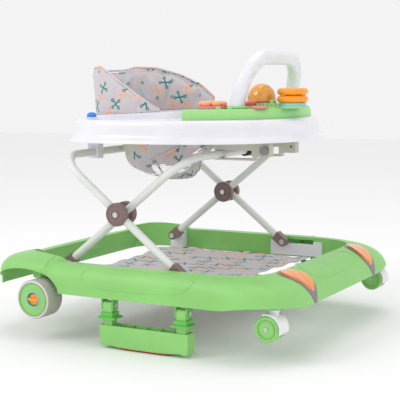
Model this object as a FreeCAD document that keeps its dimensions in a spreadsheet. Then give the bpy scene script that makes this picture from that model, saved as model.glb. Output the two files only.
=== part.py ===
"""Baby walker: base ring on wheels, crossed leg frames, tray with a fabric seat.

Axes: +X is the way the baby faces, +Y is the baby's left, +Z is up.
Origin: middle of the footprint, on the floor the stopper pads stand on.
Every size is in millimetres and lives in the spreadsheet "Sizes".
"""
import FreeCAD
import Part
import math
import os
import re
import Sketcher
from FreeCAD import Matrix, Placement, Rotation, Vector

doc = FreeCAD.newDocument("BabyWalker")
sheet = doc.addObject("Spreadsheet::Sheet", "Sizes")

SIZES = {
    # Base ring: outer bottom edge, crown line and open middle
    "base_length": 675, "base_width": 606, "rail_bottom": 98, "rail_top": 154, "rail_wall": 3,
    "crown_back": 318, "crown_front": 280, "crown_width": 550,
    "hole_back": 298, "hole_front": 266, "hole_width": 500,
    "inner_edge": 110, "back_inner_edge": 129, "corner_rise": 10, "corner_arch": 300,
    # Rear fenders and wheels
    "fender_x": -243, "fender_y": 224, "fender_length": 188, "fender_width": 158, "fender_top": 167,
    "arch_x": -248, "arch_length": 184, "arch_top": 141, "arch_depth": 42,
    "wheel_x": -206, "wheel_radius": 39.5, "wheel_width": 48, "wheel_face": 321, "floor_gap": 45,
    "hub_radius": 34, "axle_radius": 4, "running_gap": 0.06, "knob_radius": 11, "knob_depth": 9,
    "hanger_thick": 12, "hanger_length": 34,
    # Front casters
    "caster_x": 296, "caster_y": 268, "caster_trail": 9, "caster_radius": 24.5, "caster_wheel_width": 14,
    "caster_gap": 12, "caster_axle": 2.5, "stem_radius": 5, "stem_length": 22, "socket_radius": 9,
    "socket_height": 24,
    # Stoppers
    "stopper_x": 42, "stopper_y": 290, "stopper_length": 200, "stopper_thick": 26, "stopper_top": 46,
    "stopper_wall": 2.5, "stopper_ribs": 5, "pad_thick": 4, "pad_length": 112, "belly_rise": 8,
    "arm_offset": 83, "arm_width": 20, "arm_depth": 18, "hinge_height": 84, "hinge_radius": 3,
    "cheek_gap": 0.6, "cheek_thick": 3, "collar_bottom": 58, "collar_height": 13, "collar_wall": 3.5,
    "flange_thick": 4, "flange_reach": 6, "slide_gap": 0.3,
    # Crossed legs
    "foot_back": -194, "foot_front": 88, "foot_height": 143, "leg_length": 360, "tube_radius": 8,
    "tube_wall": 1.2, "bend_radius": 62, "leg_gap": 3.5, "outer_leg_y": 234,
    "cap_length": 34, "cap_wall": 1, "cap_rise": 2.5, "tube_start": 14, "foot_pin": 4,
    "disc_radius": 23.5, "disc_out": 13, "bolt_radius": 3, "bolt_head": 5.5, "slot_travel": 66,
    "slot_gap": 0.6, "plate_length": 128, "plate_x": 115, "plate_bottom": 111, "plate_top": 145,
    "plate_clear": 1, "bracket_length": 32, "bracket_clear": 2.5, "bracket_top": 151,
    # Lamps
    "lamp_x": 302, "lamp_y": 163, "lamp_length": 64, "lamp_width": 40, "lamp_turn": 32, "bezel_rim": 6,
    "bezel_rise": 1.5, "lens_rise": 4,
    # Floor mat
    "mat_back": -226, "mat_front": 158, "mat_width": 430, "mat_height": 110, "mat_thick": 3, "mat_waist": 24,
    "strap_width": 18, "hook_width": 22, "hook_back_x": -152, "hook_mid_x": -3, "front_hook_y": 150,
    # Tray
    "tray_middle": -93, "tray_back": 170, "tray_front": 360, "tray_width": 482, "tray_lip": 395,
    "tray_top": 440, "tray_wall": 3, "seat_x": -89, "seat_reach": 136, "seat_width": 228, "plinth_width": 16,
    "plinth_back": 443, "plinth_front": 457, "clip_y": 106, "clip_width": 20, "clip_wall": 5,
    "guide_y": 62, "guide_width": 18, "guide_wall": 4, "guide_gap": 0.4, "lug_reach": 34, "lug_height": 26,
    "lug_bottom": 363, "screw_head": 9, "screw_depth": 7, "screw_shaft": 3,
    # Seat
    "back_thick": 13, "back_top": 560, "back_slope_start": -150, "back_front": -22, "back_front_top": 472,
    "sling_thick": 5, "sling_bottom": 306, "leg_hole": 37, "leg_hole_y": 50, "leg_hole_z": 356,
    # Toy panel and toys
    "panel_top": 461, "panel_inset": 30, "panel_back": 72, "handle_x": 153, "handle_y": 118,
    "handle_top": 575, "handle_lean": 30, "handle_radius": 13, "handle_bend": 74, "boss_radius": 20,
    "boss_height": 5, "dome_x": 158, "dome_y": -18, "dome_radius": 30, "dome_base": 470,
    "stack_x": 236, "stack_y": -38, "stack_base": 27, "stack_floor": 470, "ring_major": 24, "ring_minor": 7.2,
    "post_radius": 15, "post_top": 498, "flower_x": 101, "flower_y": -122, "flower_radius": 31,
    "petal_radius": 7, "petals": 6, "gear_x": 196, "gear_y": -68, "gear_radius": 17, "gear_teeth": 12,
    "mirror_x": 196, "mirror_y": -107, "mirror_radius": 16, "red_x": 160, "red_y": -73, "red_radius": 12,
    "button_x": -168, "button_y": -155, "button_radius": 10, "press": 3, "toy_gap": 0.5,
}

for row, (alias, value) in enumerate(SIZES.items(), start=1):
    sheet.set("A%d" % row, alias)
    sheet.set("B%d" % row, str(value))
    sheet.setAlias("B%d" % row, alias)
doc.recompute()

LEFT, RIGHT = 1, -1
SIDES = {"left": LEFT, "right": RIGHT}
UP = Vector(0, 0, 1)
ALONG_X = Rotation(Vector(0, 1, 0), 90)
ALONG_Y = Rotation(Vector(1, 0, 0), -90)


# Sizes that follow from the driving ones, so that the legs, caps, plates and brackets stay fitted
DERIVED = {
    "inner_leg_y": "(outer_leg_y - 2 * tube_radius - leg_gap)",
    "cap_width": "(2 * tube_radius + 2 * cap_wall)",
    "cap_height": "(2 * tube_radius + 2 * cap_rise)",
    "plate_face": "(outer_leg_y + tube_radius + cap_wall + plate_clear)",
    "bracket_face": "(outer_leg_y - tube_radius - leg_gap + cap_wall + bracket_clear)",
}


def size(alias):
    """A driving dimension read from the sheet, or one that follows from them."""
    if alias in DERIVED:
        return float(sheet.evalExpression(formula(alias)))
    return float(sheet.get(alias))


def formula(text):
    """An expression with derived sizes written out and the sheet's name before each alias."""
    text = re.sub(r"[a-z_]+", lambda m: DERIVED.get(m.group(), m.group()), text)
    return re.sub(r"[a-z_]+", lambda m: "Sizes." + m.group() if m.group() in SIZES else m.group(), text)


def bind(thing, **sizes):
    """Ties properties of a document object to expressions of the sheet."""
    for prop, text in sizes.items():
        thing.setExpression(prop, formula(text))


def place(thing, x="0", y="0", z="0", turn=None):
    """Puts an object at a point given by expressions, with an optional fixed turn."""
    if turn is not None:
        thing.Placement = Placement(Vector(), turn)
    for axis, text in zip("xyz", (x, y, z)):
        thing.setExpression("Placement.Base." + axis, formula(text))
    return thing


def box(label, length, width, height, x, y, z):
    """A block centred on x and y, standing on z."""
    thing = doc.addObject("Part::Box", label)
    bind(thing, Length=length, Width=width, Height=height)
    return place(thing, "%s - (%s) / 2" % (x, length), "%s - (%s) / 2" % (y, width), z)


def rod(label, radius, length, x, y, z, turn=None):
    """A round bar that starts at a point and runs along +Z, or along +X or +Y when turned."""
    thing = doc.addObject("Part::Cylinder", label)
    bind(thing, Radius=radius, Height=length)
    return place(thing, x, y, z, turn)


def joined(label, *things):
    thing = doc.addObject("Part::MultiFuse", label)
    thing.Shapes = list(things)
    thing.Refine = True
    return thing


def cut(label, base, *tools):
    thing = doc.addObject("Part::Cut", label)
    thing.Base = base
    thing.Tool = tools[0] if len(tools) == 1 else joined(label + "_tools", *tools)
    return thing


def group(label, *things):
    """Separate solids that share one node."""
    thing = doc.addObject("Part::Compound", label)
    thing.Links = list(things)
    return thing


def mirrored(label, source):
    """The other side's copy, across the middle plane."""
    thing = doc.addObject("Part::Mirroring", label)
    thing.Source = source
    thing.Normal = (0, 1, 0)
    return thing


def feature(label, shape, placement=None):
    """A shape made with Part's own functions from the sheet's values."""
    thing = doc.addObject("Part::Feature", label)
    thing.Shape = shape
    if placement is not None:
        thing.Placement = placement
    return thing


def sketch_polygon(body, plane, points):
    """A closed outline in a body, each corner tied to two expressions."""
    sketch = body.newObject("Sketcher::SketchObject", body.Name + "_outline")
    origin = [part for part in body.Origin.OriginFeatures if part.Role == plane][0]
    sketch.AttachmentSupport = [(origin, "")]
    sketch.MapMode = "FlatFace"
    count = len(points)
    start = [Vector(math.cos(2 * math.pi * i / count), math.sin(2 * math.pi * i / count), 0)
             for i in range(count)]
    for i in range(count):
        sketch.addGeometry(Part.LineSegment(start[i], start[(i + 1) % count]))
    for i in range(count):
        sketch.addConstraint(Sketcher.Constraint("Coincident", i, 2, (i + 1) % count, 1))
    for i, corner in enumerate(points):
        for kind, text in zip(("DistanceX", "DistanceY"), corner):
            index = sketch.addConstraint(Sketcher.Constraint(kind, -1, 1, i, 1, 1.0))
            sketch.setExpression("Constraints[%d]" % index, formula(text))
    return sketch


def turned(label, points, x, y, z):
    """A lathe-turned body about the Y direction; points are (radius, distance along Y)."""
    body = doc.addObject("PartDesign::Body", label)
    sketch = sketch_polygon(body, "XY_Plane", points)
    solid = body.newObject("PartDesign::Revolution", label + "_turned")
    solid.Profile = sketch
    solid.ReferenceAxis = (sketch, ["V_Axis"])
    solid.Angle = 360
    return place(body, x, y, z)


def extruded(label, points, depth, x, y, z, plane="XZ_Plane"):
    """A body padded evenly both ways from its sketch plane."""
    body = doc.addObject("PartDesign::Body", label)
    sketch = sketch_polygon(body, plane, points)
    pad = body.newObject("PartDesign::Pad", label + "_pad")
    pad.Profile = sketch
    pad.Midplane = True
    pad.setExpression("Length", formula(depth))
    return place(body, x, y, z)


# ---------------------------------------------------------------- outlines

def rounded_loop(middle, back, front, half_width, power, z, steps=72, back_power=None):
    """A closed smooth outline between a rectangle and an ellipse, squarer as power grows."""
    points = []
    for i in range(steps):
        angle = 2 * math.pi * i / steps
        c, s = math.cos(angle), math.sin(angle)
        reach, bulge = (front, power) if c >= 0 else (back, back_power or power)
        radius = ((abs(c) / reach) ** bulge + (abs(s) / half_width) ** bulge) ** (-1 / bulge)
        points.append(Vector(middle + radius * c, radius * s, z))
    curve = Part.BSplineCurve()
    curve.interpolate(points, PeriodicFlag=True)
    return Part.Wire(curve.toShape())


def loft(wires):
    return Part.makeLoft(wires, True, False)


def prism(wire, height):
    return Part.Face(wire).extrude(Vector(0, 0, height))


def mirror_y(shape):
    return shape.mirror(Vector(), Vector(0, 1, 0))


# ---------------------------------------------------------------- base ring

# How far the outer wall has leaned in (second value) at each share of its height (first value)
RAIL_LEAN = ((0, 0), (0.35, 0.1), (0.65, 0.3), (0.87, 0.6), (1, 1))
BOTTOM_POWER, CROWN_POWER, HOLE_POWER, FENDER_POWER = 10, 4.5, 7, 3
FENDER_LEAN = ((0, 1), (0.45, 0.97), (0.76, 0.86), (0.93, 0.62), (1, 0.3))


def rail_body(inset):
    """The ring's outer form without its hole, shrunk all round by inset."""
    half_length = size("base_length") / 2
    low, high = size("rail_bottom"), size("rail_top") - inset
    wires = []
    for share, lean in RAIL_LEAN:
        back = half_length + (size("crown_back") - half_length) * lean - inset
        front = half_length + (size("crown_front") - half_length) * lean - inset
        wide = size("base_width") / 2 + (size("crown_width") / 2 - size("base_width") / 2) * lean - inset
        power = BOTTOM_POWER + (CROWN_POWER - BOTTOM_POWER) * lean
        middle = (front - back) / 2
        reach = (front + back) / 2
        wires.append(rounded_loop(middle, reach, reach, wide, power, low + (high - low) * share))
    return loft(wires)


def fender_body(inset):
    """The hump over the left rear wheel, shrunk all round by inset."""
    low, high = size("rail_bottom"), size("fender_top") - inset
    wires = []
    for share, lean in FENDER_LEAN:
        reach = size("fender_length") / 2 * lean - inset
        wide = size("fender_width") / 2 * lean - inset
        wires.append(rounded_loop(0, reach, reach, wide, FENDER_POWER, low + (high - low) * share, 36))
    shape = loft(wires)
    shape.translate(Vector(size("fender_x"), size("fender_y"), 0))
    return shape


def outer_form(inset):
    fender = fender_body(inset)
    return rail_body(inset).fuse([fender, mirror_y(fender)])


def hole_prism(grow, low, high):
    """The ring's open middle, grown all round by grow."""
    back, front = size("hole_back") + grow, size("hole_front") + grow
    reach = (front + back) / 2
    loop = rounded_loop((front - back) / 2, reach, reach, size("hole_width") / 2 + grow, HOLE_POWER, low)
    return prism(loop, high - low)


def ellipse_bar(x, z, half_length, half_height, y, length):
    """A bar of elliptical section along Y, flat length first."""
    bar = Part.makeCylinder(1, length, Vector(0, 0, 0), Vector(0, 1, 0))
    stretch = Matrix()
    stretch.A11 = half_length
    stretch.A33 = half_height
    bar = bar.transformGeometry(stretch)
    bar.translate(Vector(x, y, z))
    return bar


def wheel_arch():
    """What the left fender leaves open over its wheel."""
    side = size("fender_y") + size("fender_width") / 2
    return ellipse_bar(size("arch_x"), size("rail_bottom") - 3, size("arch_length") / 2,
                       size("arch_top") - size("rail_bottom") + 3, side - size("arch_depth"),
                       size("arch_depth") * 2)


def corner_arch():
    """A long shallow arch that lifts the skirt over the left front caster."""
    direction = Vector(1, 1, 0).normalize()
    apex = size("rail_bottom") + size("corner_rise")
    start = Vector(size("hole_front") - 30, size("hole_width") / 2 - 30, apex - size("corner_arch"))
    return Part.makeCylinder(size("corner_arch"), size("base_width") / 3, start, direction)


def slot_opening():
    """The left wall's slot for the front foot pin."""
    half = size("foot_pin") + size("slot_gap")
    start, stop = size("foot_front") - half, size("foot_front") + size("slot_travel") + half
    return Part.makeBox(stop - start, 30, 2 * half,
                        Vector(start, size("plate_face") - 2, size("foot_height") - half))


rail_cavity = outer_form(size("rail_wall")).cut(hole_prism(size("rail_wall"), 0, 300))


def base_ring():
    body = outer_form(0).cut(hole_prism(0, 0, 300)).cut(rail_cavity)
    skirt = hole_prism(size("rail_wall") + 0.01, 0, size("inner_edge"))
    back_skirt = hole_prism(size("rail_wall") + 0.01, 0, size("back_inner_edge"))
    back_zone = Part.makeBox(60, size("hole_width") * 0.8, 300,
                             Vector(-size("hole_back") - 20, -size("hole_width") * 0.4, 0))
    cuts = [skirt, back_skirt.common(back_zone)]
    for tool in (wheel_arch(), corner_arch(), slot_opening()):
        cuts += [tool, mirror_y(tool)]
    for tool in cuts:
        body = body.cut(tool)
    return body


ring = feature("base_ring", base_ring())


def hung(label, source):
    """Trims a piece that reaches up under the rail to the inside of the moulding."""
    reach = Part.makeBox(2000, 2000, 200, Vector(-1000, -1000, size("rail_bottom") + 0.01))
    trimmed = source.Shape.cut(reach).fuse(source.Shape.common(rail_cavity)).removeSplitter()
    return feature(label, trimmed)


# ---------------------------------------------------------------- base fittings

slot_cutter = box("slot_cutter", "slot_travel + 2 * foot_pin + 2 * slot_gap", "60", "60",
                  "foot_front + slot_travel / 2", "plate_face", "foot_height - foot_pin - slot_gap")
plate_blank = box("plate_blank", "plate_length", "hole_width / 2 - plate_face + 4", "plate_top - plate_bottom",
                  "plate_x", "(hole_width / 2 + plate_face + 4) / 2", "plate_bottom")
doc.recompute()
plate_open = cut("plate_open", plate_blank, slot_cutter)
doc.recompute()
plate_left = feature("plate_left", plate_open.Shape.common(hole_prism(0, 0, 300)))
slot_plates = group("slot_plates", plate_left, mirrored("plate_right", plate_left))

bracket_blank = box("bracket_blank", "bracket_length", "hole_width / 2 - bracket_face",
                    "bracket_top - plate_bottom", "foot_back", "(hole_width / 2 + bracket_face) / 2",
                    "plate_bottom")
bracket_hole = rod("bracket_hole", "foot_pin", "hole_width / 2 - bracket_face - 8", "foot_back",
                   "bracket_face", "foot_height", ALONG_Y)
bracket_bored = cut("bracket_bored", bracket_blank, bracket_hole)
doc.recompute()
bracket_left = feature("bracket_left", bracket_bored.Shape.common(hole_prism(0, 0, 300)))
rear_brackets = group("rear_brackets", bracket_left, mirrored("bracket_right", bracket_left))

foot_pin_left = joined(
    "foot_pin_left",
    rod("rear_pin_shaft", "foot_pin", "hole_width / 2 - 8 - inner_leg_y + cap_width / 2 + 1", "foot_back",
        "inner_leg_y - cap_width / 2 - 1", "foot_height", ALONG_Y),
    rod("rear_pin_head", "foot_pin + 2", "2", "foot_back", "inner_leg_y - cap_width / 2 - 2.5",
        "foot_height", ALONG_Y))
rear_foot_pins = group("rear_foot_pins", foot_pin_left, mirrored("foot_pin_right", foot_pin_left))

hook_arms = []
for number, spot in enumerate(("hook_back_x", "hook_mid_x"), start=1):
    hook_arms.append(box("side_hook_%d" % number, "hook_width", "hole_width / 2 - mat_width / 2 - 6", "5", spot,
                         "(hole_width / 2 + mat_width / 2 + 4) / 2", "inner_edge - 6"))
hook_arms.append(box("front_hook", "hole_front - mat_front - 4", "hook_width", "5",
                     "(hole_front + mat_front + 6) / 2", "front_hook_y", "inner_edge - 6"))
doc.recompute()
hook_set = []
for arm in hook_arms:
    hook_set += [feature(arm.Name + "_left", arm.Shape.common(hole_prism(0, 0, 300)))]
    hook_set += [mirrored(arm.Name + "_right", hook_set[-1])]
mat_hooks = group("mat_hooks", *hook_set)


def mat_outline():
    """The mat's edge: straight sides, with the back and front edges curved in."""
    back, front, half = size("mat_back"), size("mat_front"), size("mat_width") / 2
    waist, z = size("mat_waist"), size("mat_height")
    corners = [Vector(back, -half, z), Vector(front, -half, z), Vector(front, half, z), Vector(back, half, z)]
    edges = [Part.LineSegment(corners[0], corners[1]),
             Part.Arc(corners[1], Vector(front - waist, 0, z), corners[2]),
             Part.LineSegment(corners[2], corners[3]),
             Part.Arc(corners[3], Vector(back + waist, 0, z), corners[0])]
    return Part.Wire([edge.toShape() for edge in edges])


floor_mat = feature("floor_mat", prism(mat_outline(), size("mat_thick")))
strap_parts = []
for number, spot in enumerate(("hook_back_x", "hook_mid_x"), start=1):
    tab = box("strap_%d" % number, "strap_width", "hole_width / 2 - mat_width / 2 - 8", "2", spot,
              "(hole_width / 2 + mat_width / 2 - 8) / 2", "mat_height")
    strap_parts += [tab, mirrored("strap_%d_right" % number, tab)]
front_tab = box("strap_front", "26", "strap_width", "2", "mat_front + 13.5", "front_hook_y", "mat_height")
mat_straps = group("mat_straps", *strap_parts, front_tab, mirrored("strap_front_right", front_tab))

# Lamps: a bezel lies on the sloping front corner, with a thicker lens inside it
LAMP_POWER = 2.4


def lamp_prism(margin):
    """An upright leaf-shaped column over the left lamp's place."""
    length, width = size("lamp_length") / 2 + margin, size("lamp_width") / 2 + margin
    column = prism(rounded_loop(0, length, length, width, LAMP_POWER, 0, 36), 300)
    column.rotate(Vector(), UP, -size("lamp_turn"))
    column.translate(Vector(size("lamp_x"), size("lamp_y"), 0))
    return column


def rail_skin(thick):
    return rail_body(-thick).cut(rail_body(0))


lens_shape = lamp_prism(0).common(rail_skin(size("lens_rise")))
bezel_shape = lamp_prism(size("bezel_rim")).cut(lamp_prism(0)).common(rail_skin(size("bezel_rise")))
lens_left = feature("lens_left", lens_shape)
bezel_left = feature("bezel_left", bezel_shape)
lamp_lenses = group("lamp_lenses", lens_left, mirrored("lens_right", lens_left))
lamp_bezels = group("lamp_bezels", bezel_left, mirrored("bezel_right", bezel_left))

# ---------------------------------------------------------------- rear wheels

AXLE_Z = "floor_gap + wheel_radius"
INNER_FACE = "(wheel_face - wheel_width)"
axle_left = joined(
    "axle_left",
    rod("axle_shaft", "axle_radius", "wheel_width + hanger_thick + 2 - knob_depth - 8", "wheel_x",
        INNER_FACE + " - hanger_thick - 2", AXLE_Z, ALONG_Y),
    rod("axle_cap", "axle_radius + 3", "2", "wheel_x", INNER_FACE + " - hanger_thick - 4", AXLE_Z, ALONG_Y))
rear_axles = group("rear_axles", axle_left, mirrored("axle_right", axle_left))

hanger_blank = box("hanger_blank", "hanger_length", "hanger_thick", "fender_top - floor_gap - wheel_radius + 14",
                   "wheel_x", INNER_FACE + " - hanger_thick / 2 - 1", "floor_gap + wheel_radius - 14")
hanger_bored = cut("hanger_bored", hanger_blank,
                   rod("hanger_bore", "axle_radius", "hanger_thick * 3", "wheel_x",
                       INNER_FACE + " - hanger_thick * 2", AXLE_Z, ALONG_Y))
doc.recompute()
hanger_left = hung("hanger_left", hanger_bored)
wheel_hangers = group("wheel_hangers", hanger_left, mirrored("hanger_right", hanger_left))


def rear_wheel(name, side):
    """A tyre ring on a dished hub that turns on the axle."""
    def across(text):
        return "%d * (%s)" % (side, text)
    tyre = turned("rear_tyre_" + name, [
        ("hub_radius", across("-wheel_width / 2")), ("wheel_radius - 3", across("-wheel_width / 2")),
        ("wheel_radius", across("-wheel_width / 2 + 3")), ("wheel_radius", across("wheel_width / 2 - 3")),
        ("wheel_radius - 3", across("wheel_width / 2")), ("hub_radius", across("wheel_width / 2"))],
        "wheel_x", across("wheel_face - wheel_width / 2"), AXLE_Z)
    hub = turned("rear_hub_" + name, [
        ("axle_radius + running_gap", across("-wheel_width / 2")), ("hub_radius", across("-wheel_width / 2")),
        ("hub_radius", across("wheel_width / 2 - 1")), ("knob_radius + 6", across("wheel_width / 2 - 1")),
        ("knob_radius + 2", across("wheel_width / 2 - knob_depth")),
        ("axle_radius + running_gap", across("wheel_width / 2 - knob_depth"))],
        "wheel_x", across("wheel_face - wheel_width / 2"), AXLE_Z)
    return tyre, hub


def brake_knob(name, side):
    """A round cap with a wing across it, pressed on the axle's end inside the hub's dish."""
    start = "%d * (wheel_face - knob_depth + 0.5)" % side
    turn = ALONG_Y if side > 0 else Rotation(Vector(1, 0, 0), 90)
    cap = rod("knob_cap_" + name, "knob_radius", "4", "wheel_x", start, AXLE_Z, turn)
    wing = box("knob_wing_" + name, "knob_radius * 2 + 3", "knob_depth - 1", "5", "wheel_x",
               "%d * (wheel_face - knob_depth / 2)" % side, AXLE_Z + " - 2.5")
    return joined("brake_knob_" + name, cap, wing)


rear_wheels = {name: rear_wheel(name, side) for name, side in SIDES.items()}
brake_knobs = {name: brake_knob(name, side) for name, side in SIDES.items()}

# ---------------------------------------------------------------- front casters

STEM_X = "(caster_x + caster_trail)"
CASTER_Z = "floor_gap + caster_radius"
SOCKET_Z = "(rail_bottom + corner_rise)"
socket_blank = cut("socket_blank",
                   rod("socket_outer", "socket_radius", "socket_height + 40", STEM_X, "caster_y", SOCKET_Z + " - 4"),
                   rod("socket_bore", "stem_radius + running_gap", "socket_height", STEM_X, "caster_y",
                       SOCKET_Z + " - 4"))
doc.recompute()
socket_left = feature("socket_left", socket_blank.Shape.cut(
    Part.makeBox(900, 900, 200, Vector(0, 0, size("rail_bottom") + size("corner_rise")))).fuse(
        socket_blank.Shape.common(rail_cavity)))
caster_sockets = group("caster_sockets", socket_left, mirrored("socket_right", socket_left))


def caster_fork(name, side):
    """A stem over a hood that stands between the twin wheels and arches over them."""
    y = "%d * caster_y" % side
    stem = rod("stem_" + name, "stem_radius", "stem_length", STEM_X, y, SOCKET_Z + " - 14")
    hood = rod("hood_" + name, "caster_radius + 3.5", "caster_gap + caster_wheel_width * 2 - 4", "caster_x",
               "%d * caster_y - (caster_gap + caster_wheel_width * 2 - 4) / 2" % side, CASTER_Z, ALONG_Y)
    well = rod("well_" + name, "caster_radius + 1", "caster_gap + caster_wheel_width * 2", "caster_x",
               "%d * caster_y - (caster_gap + caster_wheel_width * 2) / 2" % side, CASTER_Z, ALONG_Y)
    below = box("below_" + name, "200", "100", "100", "caster_x + 62", y, CASTER_Z + " - 108")
    behind = box("behind_" + name, "100", "100", "200", "caster_x - 50 - caster_radius * 0.35", y, CASTER_Z + " - 100")
    shell = cut("hood_shell_" + name, hood, well, below, behind)
    web = rod("web_" + name, "caster_radius - 4", "caster_gap - 1", "caster_x",
              "%d * caster_y - (caster_gap - 1) / 2" % side, CASTER_Z, ALONG_Y)
    neck = box("neck_" + name, "15", "caster_gap - 1", "rail_bottom + corner_rise - 5 - floor_gap - caster_radius",
               STEM_X + " - 2", y, CASTER_Z)
    foot = rod("stem_foot_" + name, "stem_radius + 3.5", "3", STEM_X, y, SOCKET_Z + " - 7.3")
    solid = joined("fork_solid_" + name, stem, shell, web, neck, foot)
    bore = rod("fork_bore_" + name, "caster_axle", "caster_gap * 2", "caster_x",
               "%d * caster_y - caster_gap" % side, CASTER_Z, ALONG_Y)
    return cut("caster_fork_" + name, solid, bore)


def caster_axle(name, side):
    half = "(caster_gap / 2 + caster_wheel_width + 0.5)"
    shaft = rod("caster_shaft_" + name, "caster_axle", half + " * 2", "caster_x",
                "%d * caster_y - %s" % (side, half), CASTER_Z, ALONG_Y)
    heads = [rod("caster_head_%s_%s" % (name, end), "caster_axle + 1.2", "1", "caster_x",
                 "%d * caster_y + %s" % (side, place_y), CASTER_Z, ALONG_Y)
             for end, place_y in (("low", "(-1) * %s - 0.4" % half), ("high", half + " - 0.6"))]
    return joined("caster_axle_" + name, shaft, *heads)


def caster_wheel(label, side, outward):
    """One of the twin wheels: a dished disc that turns on the caster's axle."""
    def across(text):
        return "%d * (%s)" % (side * outward, text)
    return turned(label, [
        ("caster_axle + running_gap", across("0")), ("caster_radius - 2", across("0")),
        ("caster_radius", across("2")), ("caster_radius", across("caster_wheel_width - 3")),
        ("caster_radius - 3", across("caster_wheel_width")),
        ("caster_radius - 6", across("caster_wheel_width")),
        ("caster_radius - 7", across("caster_wheel_width - 1.2")),
        ("caster_axle + running_gap", across("caster_wheel_width - 1.2"))],
        "caster_x", "%d * caster_y + %d * caster_gap / 2" % (side, side * outward), CASTER_Z)


casters = {}
for name, side in SIDES.items():
    casters[name] = (caster_fork(name, side), caster_axle(name, side),
                     caster_wheel("caster_wheel_%s_outer" % name, side, 1),
                     caster_wheel("caster_wheel_%s_inner" % name, side, -1))

# ---------------------------------------------------------------- stoppers

ARMS = {"back": "(stopper_x - arm_offset)", "front": "(stopper_x + arm_offset)"}
BELLY = "pad_thick"


def stopper_bar(name, side):
    """A hollow bar with a curved belly, ribs across it, and two arms up to the hinge pins."""
    y = "%d * stopper_y" % side
    half = "stopper_length / 2"
    body = extruded("bar_body_" + name, [
        ("-%s" % half, "stopper_top"), ("-%s + 2" % half, BELLY + " + 4"), ("-%s + 5" % half, BELLY + " + 1.5"),
        ("-%s + 12" % half, BELLY + " + 1.5"), ("-%s + 16" % half, BELLY + " + belly_rise - 4"),
        ("-pad_length / 2", BELLY + " + 1"), ("-pad_length / 4", BELLY), ("pad_length / 4", BELLY),
        ("pad_length / 2", BELLY + " + 1"), ("%s - 16" % half, BELLY + " + belly_rise - 4"),
        ("%s - 12" % half, BELLY + " + 1.5"), ("%s - 5" % half, BELLY + " + 1.5"),
        ("%s - 2" % half, BELLY + " + 4"), ("%s" % half, "stopper_top")],
        "stopper_thick", "stopper_x", y, "0")
    pitch = "((stopper_length - 2 * stopper_wall) / (stopper_ribs + 1))"
    cells = [box("cell_%s_%d" % (name, i), pitch + " - stopper_wall", "stopper_thick - 2 * stopper_wall",
                 "stopper_top", "stopper_x + %s * %.1f" % (pitch, i - size("stopper_ribs") / 2), y,
                 "pad_thick + belly_rise + 2")
             for i in range(int(size("stopper_ribs")) + 1)]
    hollow = cut("bar_hollow_" + name, body, *cells)
    arms = []
    for end, x in ARMS.items():
        arms.append(box("arm_%s_%s" % (end, name), "arm_width", "arm_depth",
                        "hinge_height - pad_thick - belly_rise", x, y, "pad_thick + belly_rise"))
        arms.append(rod("knuckle_%s_%s" % (end, name), "arm_depth / 2", "arm_width", x + " - arm_width / 2", y,
                        "hinge_height", ALONG_X))
    solid = joined("bar_solid_" + name, hollow, *arms)
    bores = [rod("bar_bore_%s_%s" % (end, name), "hinge_radius + running_gap", "arm_width + 4",
                 x + " - arm_width / 2 - 2", y, "hinge_height", ALONG_X) for end, x in ARMS.items()]
    return cut("stopper_bar_" + name, solid, *bores)


def stopper_pad(name, side):
    """The red strip under the belly that stands on the floor."""
    return extruded("stopper_pad_" + name, [
        ("-pad_length / 2", "pad_thick + 1"), ("-pad_length / 2 + 3", "2"), ("-pad_length / 4", "0"),
        ("pad_length / 4", "0"), ("pad_length / 2 - 3", "2"), ("pad_length / 2", "pad_thick + 1"),
        ("pad_length / 4", "pad_thick"), ("-pad_length / 4", "pad_thick")],
        "stopper_thick - 6", "stopper_x", "%d * stopper_y" % side, "0")


def lock_collars(name, side):
    """Two flanged sleeves that slide on the arms to lock the hinges."""
    y = "%d * stopper_y" % side
    parts = []
    for end, x in ARMS.items():
        tag = "%s_%s" % (end, name)
        sleeve = box("sleeve_" + tag, "arm_width + 2 * collar_wall", "arm_depth + 2 * collar_wall",
                     "collar_height", x, y, "collar_bottom")
        flange = box("flange_" + tag, "arm_width + 2 * flange_reach + 2 * collar_wall",
                     "arm_depth + 2 * collar_wall + 6", "flange_thick", x, y, "collar_bottom")
        way = box("way_" + tag, "arm_width + 2 * slide_gap", "arm_depth + 2 * slide_gap",
                  "collar_height + 20", x, y, "collar_bottom - 10")
        parts.append(cut("collar_" + tag, joined("collar_solid_" + tag, sleeve, flange), way))
    return group("lock_collars_" + name, *parts)


def clevis(end, x):
    """Two cheeks that come down from inside the left rail, with the hinge pin's holes."""
    cheeks = []
    for number, sign in enumerate((-1, 1), start=1):
        cheeks.append(box("cheek_%s_%d" % (end, number), "cheek_thick", "arm_depth", "rail_top - hinge_height + 10",
                          "%s + %d * (arm_width / 2 + cheek_gap + cheek_thick / 2)" % (x, sign), "stopper_y",
                          "hinge_height - 9"))
    bore = rod("clevis_bore_" + end, "hinge_radius", "arm_width * 2", x + " - arm_width", "stopper_y",
               "hinge_height", ALONG_X)
    blank = cut("clevis_blank_" + end, group("cheeks_" + end, *cheeks), bore)
    doc.recompute()
    return hung("clevis_" + end, blank)


def hinge_pin(end, x):
    half = "(arm_width / 2 + cheek_gap + cheek_thick)"
    shaft = rod("hinge_shaft_" + end, "hinge_radius", half + " * 2", x + " - " + half, "stopper_y",
                "hinge_height", ALONG_X)
    head = rod("hinge_head_" + end, "hinge_radius + 1.5", "1.6", x + " + " + half, "stopper_y",
               "hinge_height", ALONG_X)
    return joined("hinge_pin_" + end, shaft, head)


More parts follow.
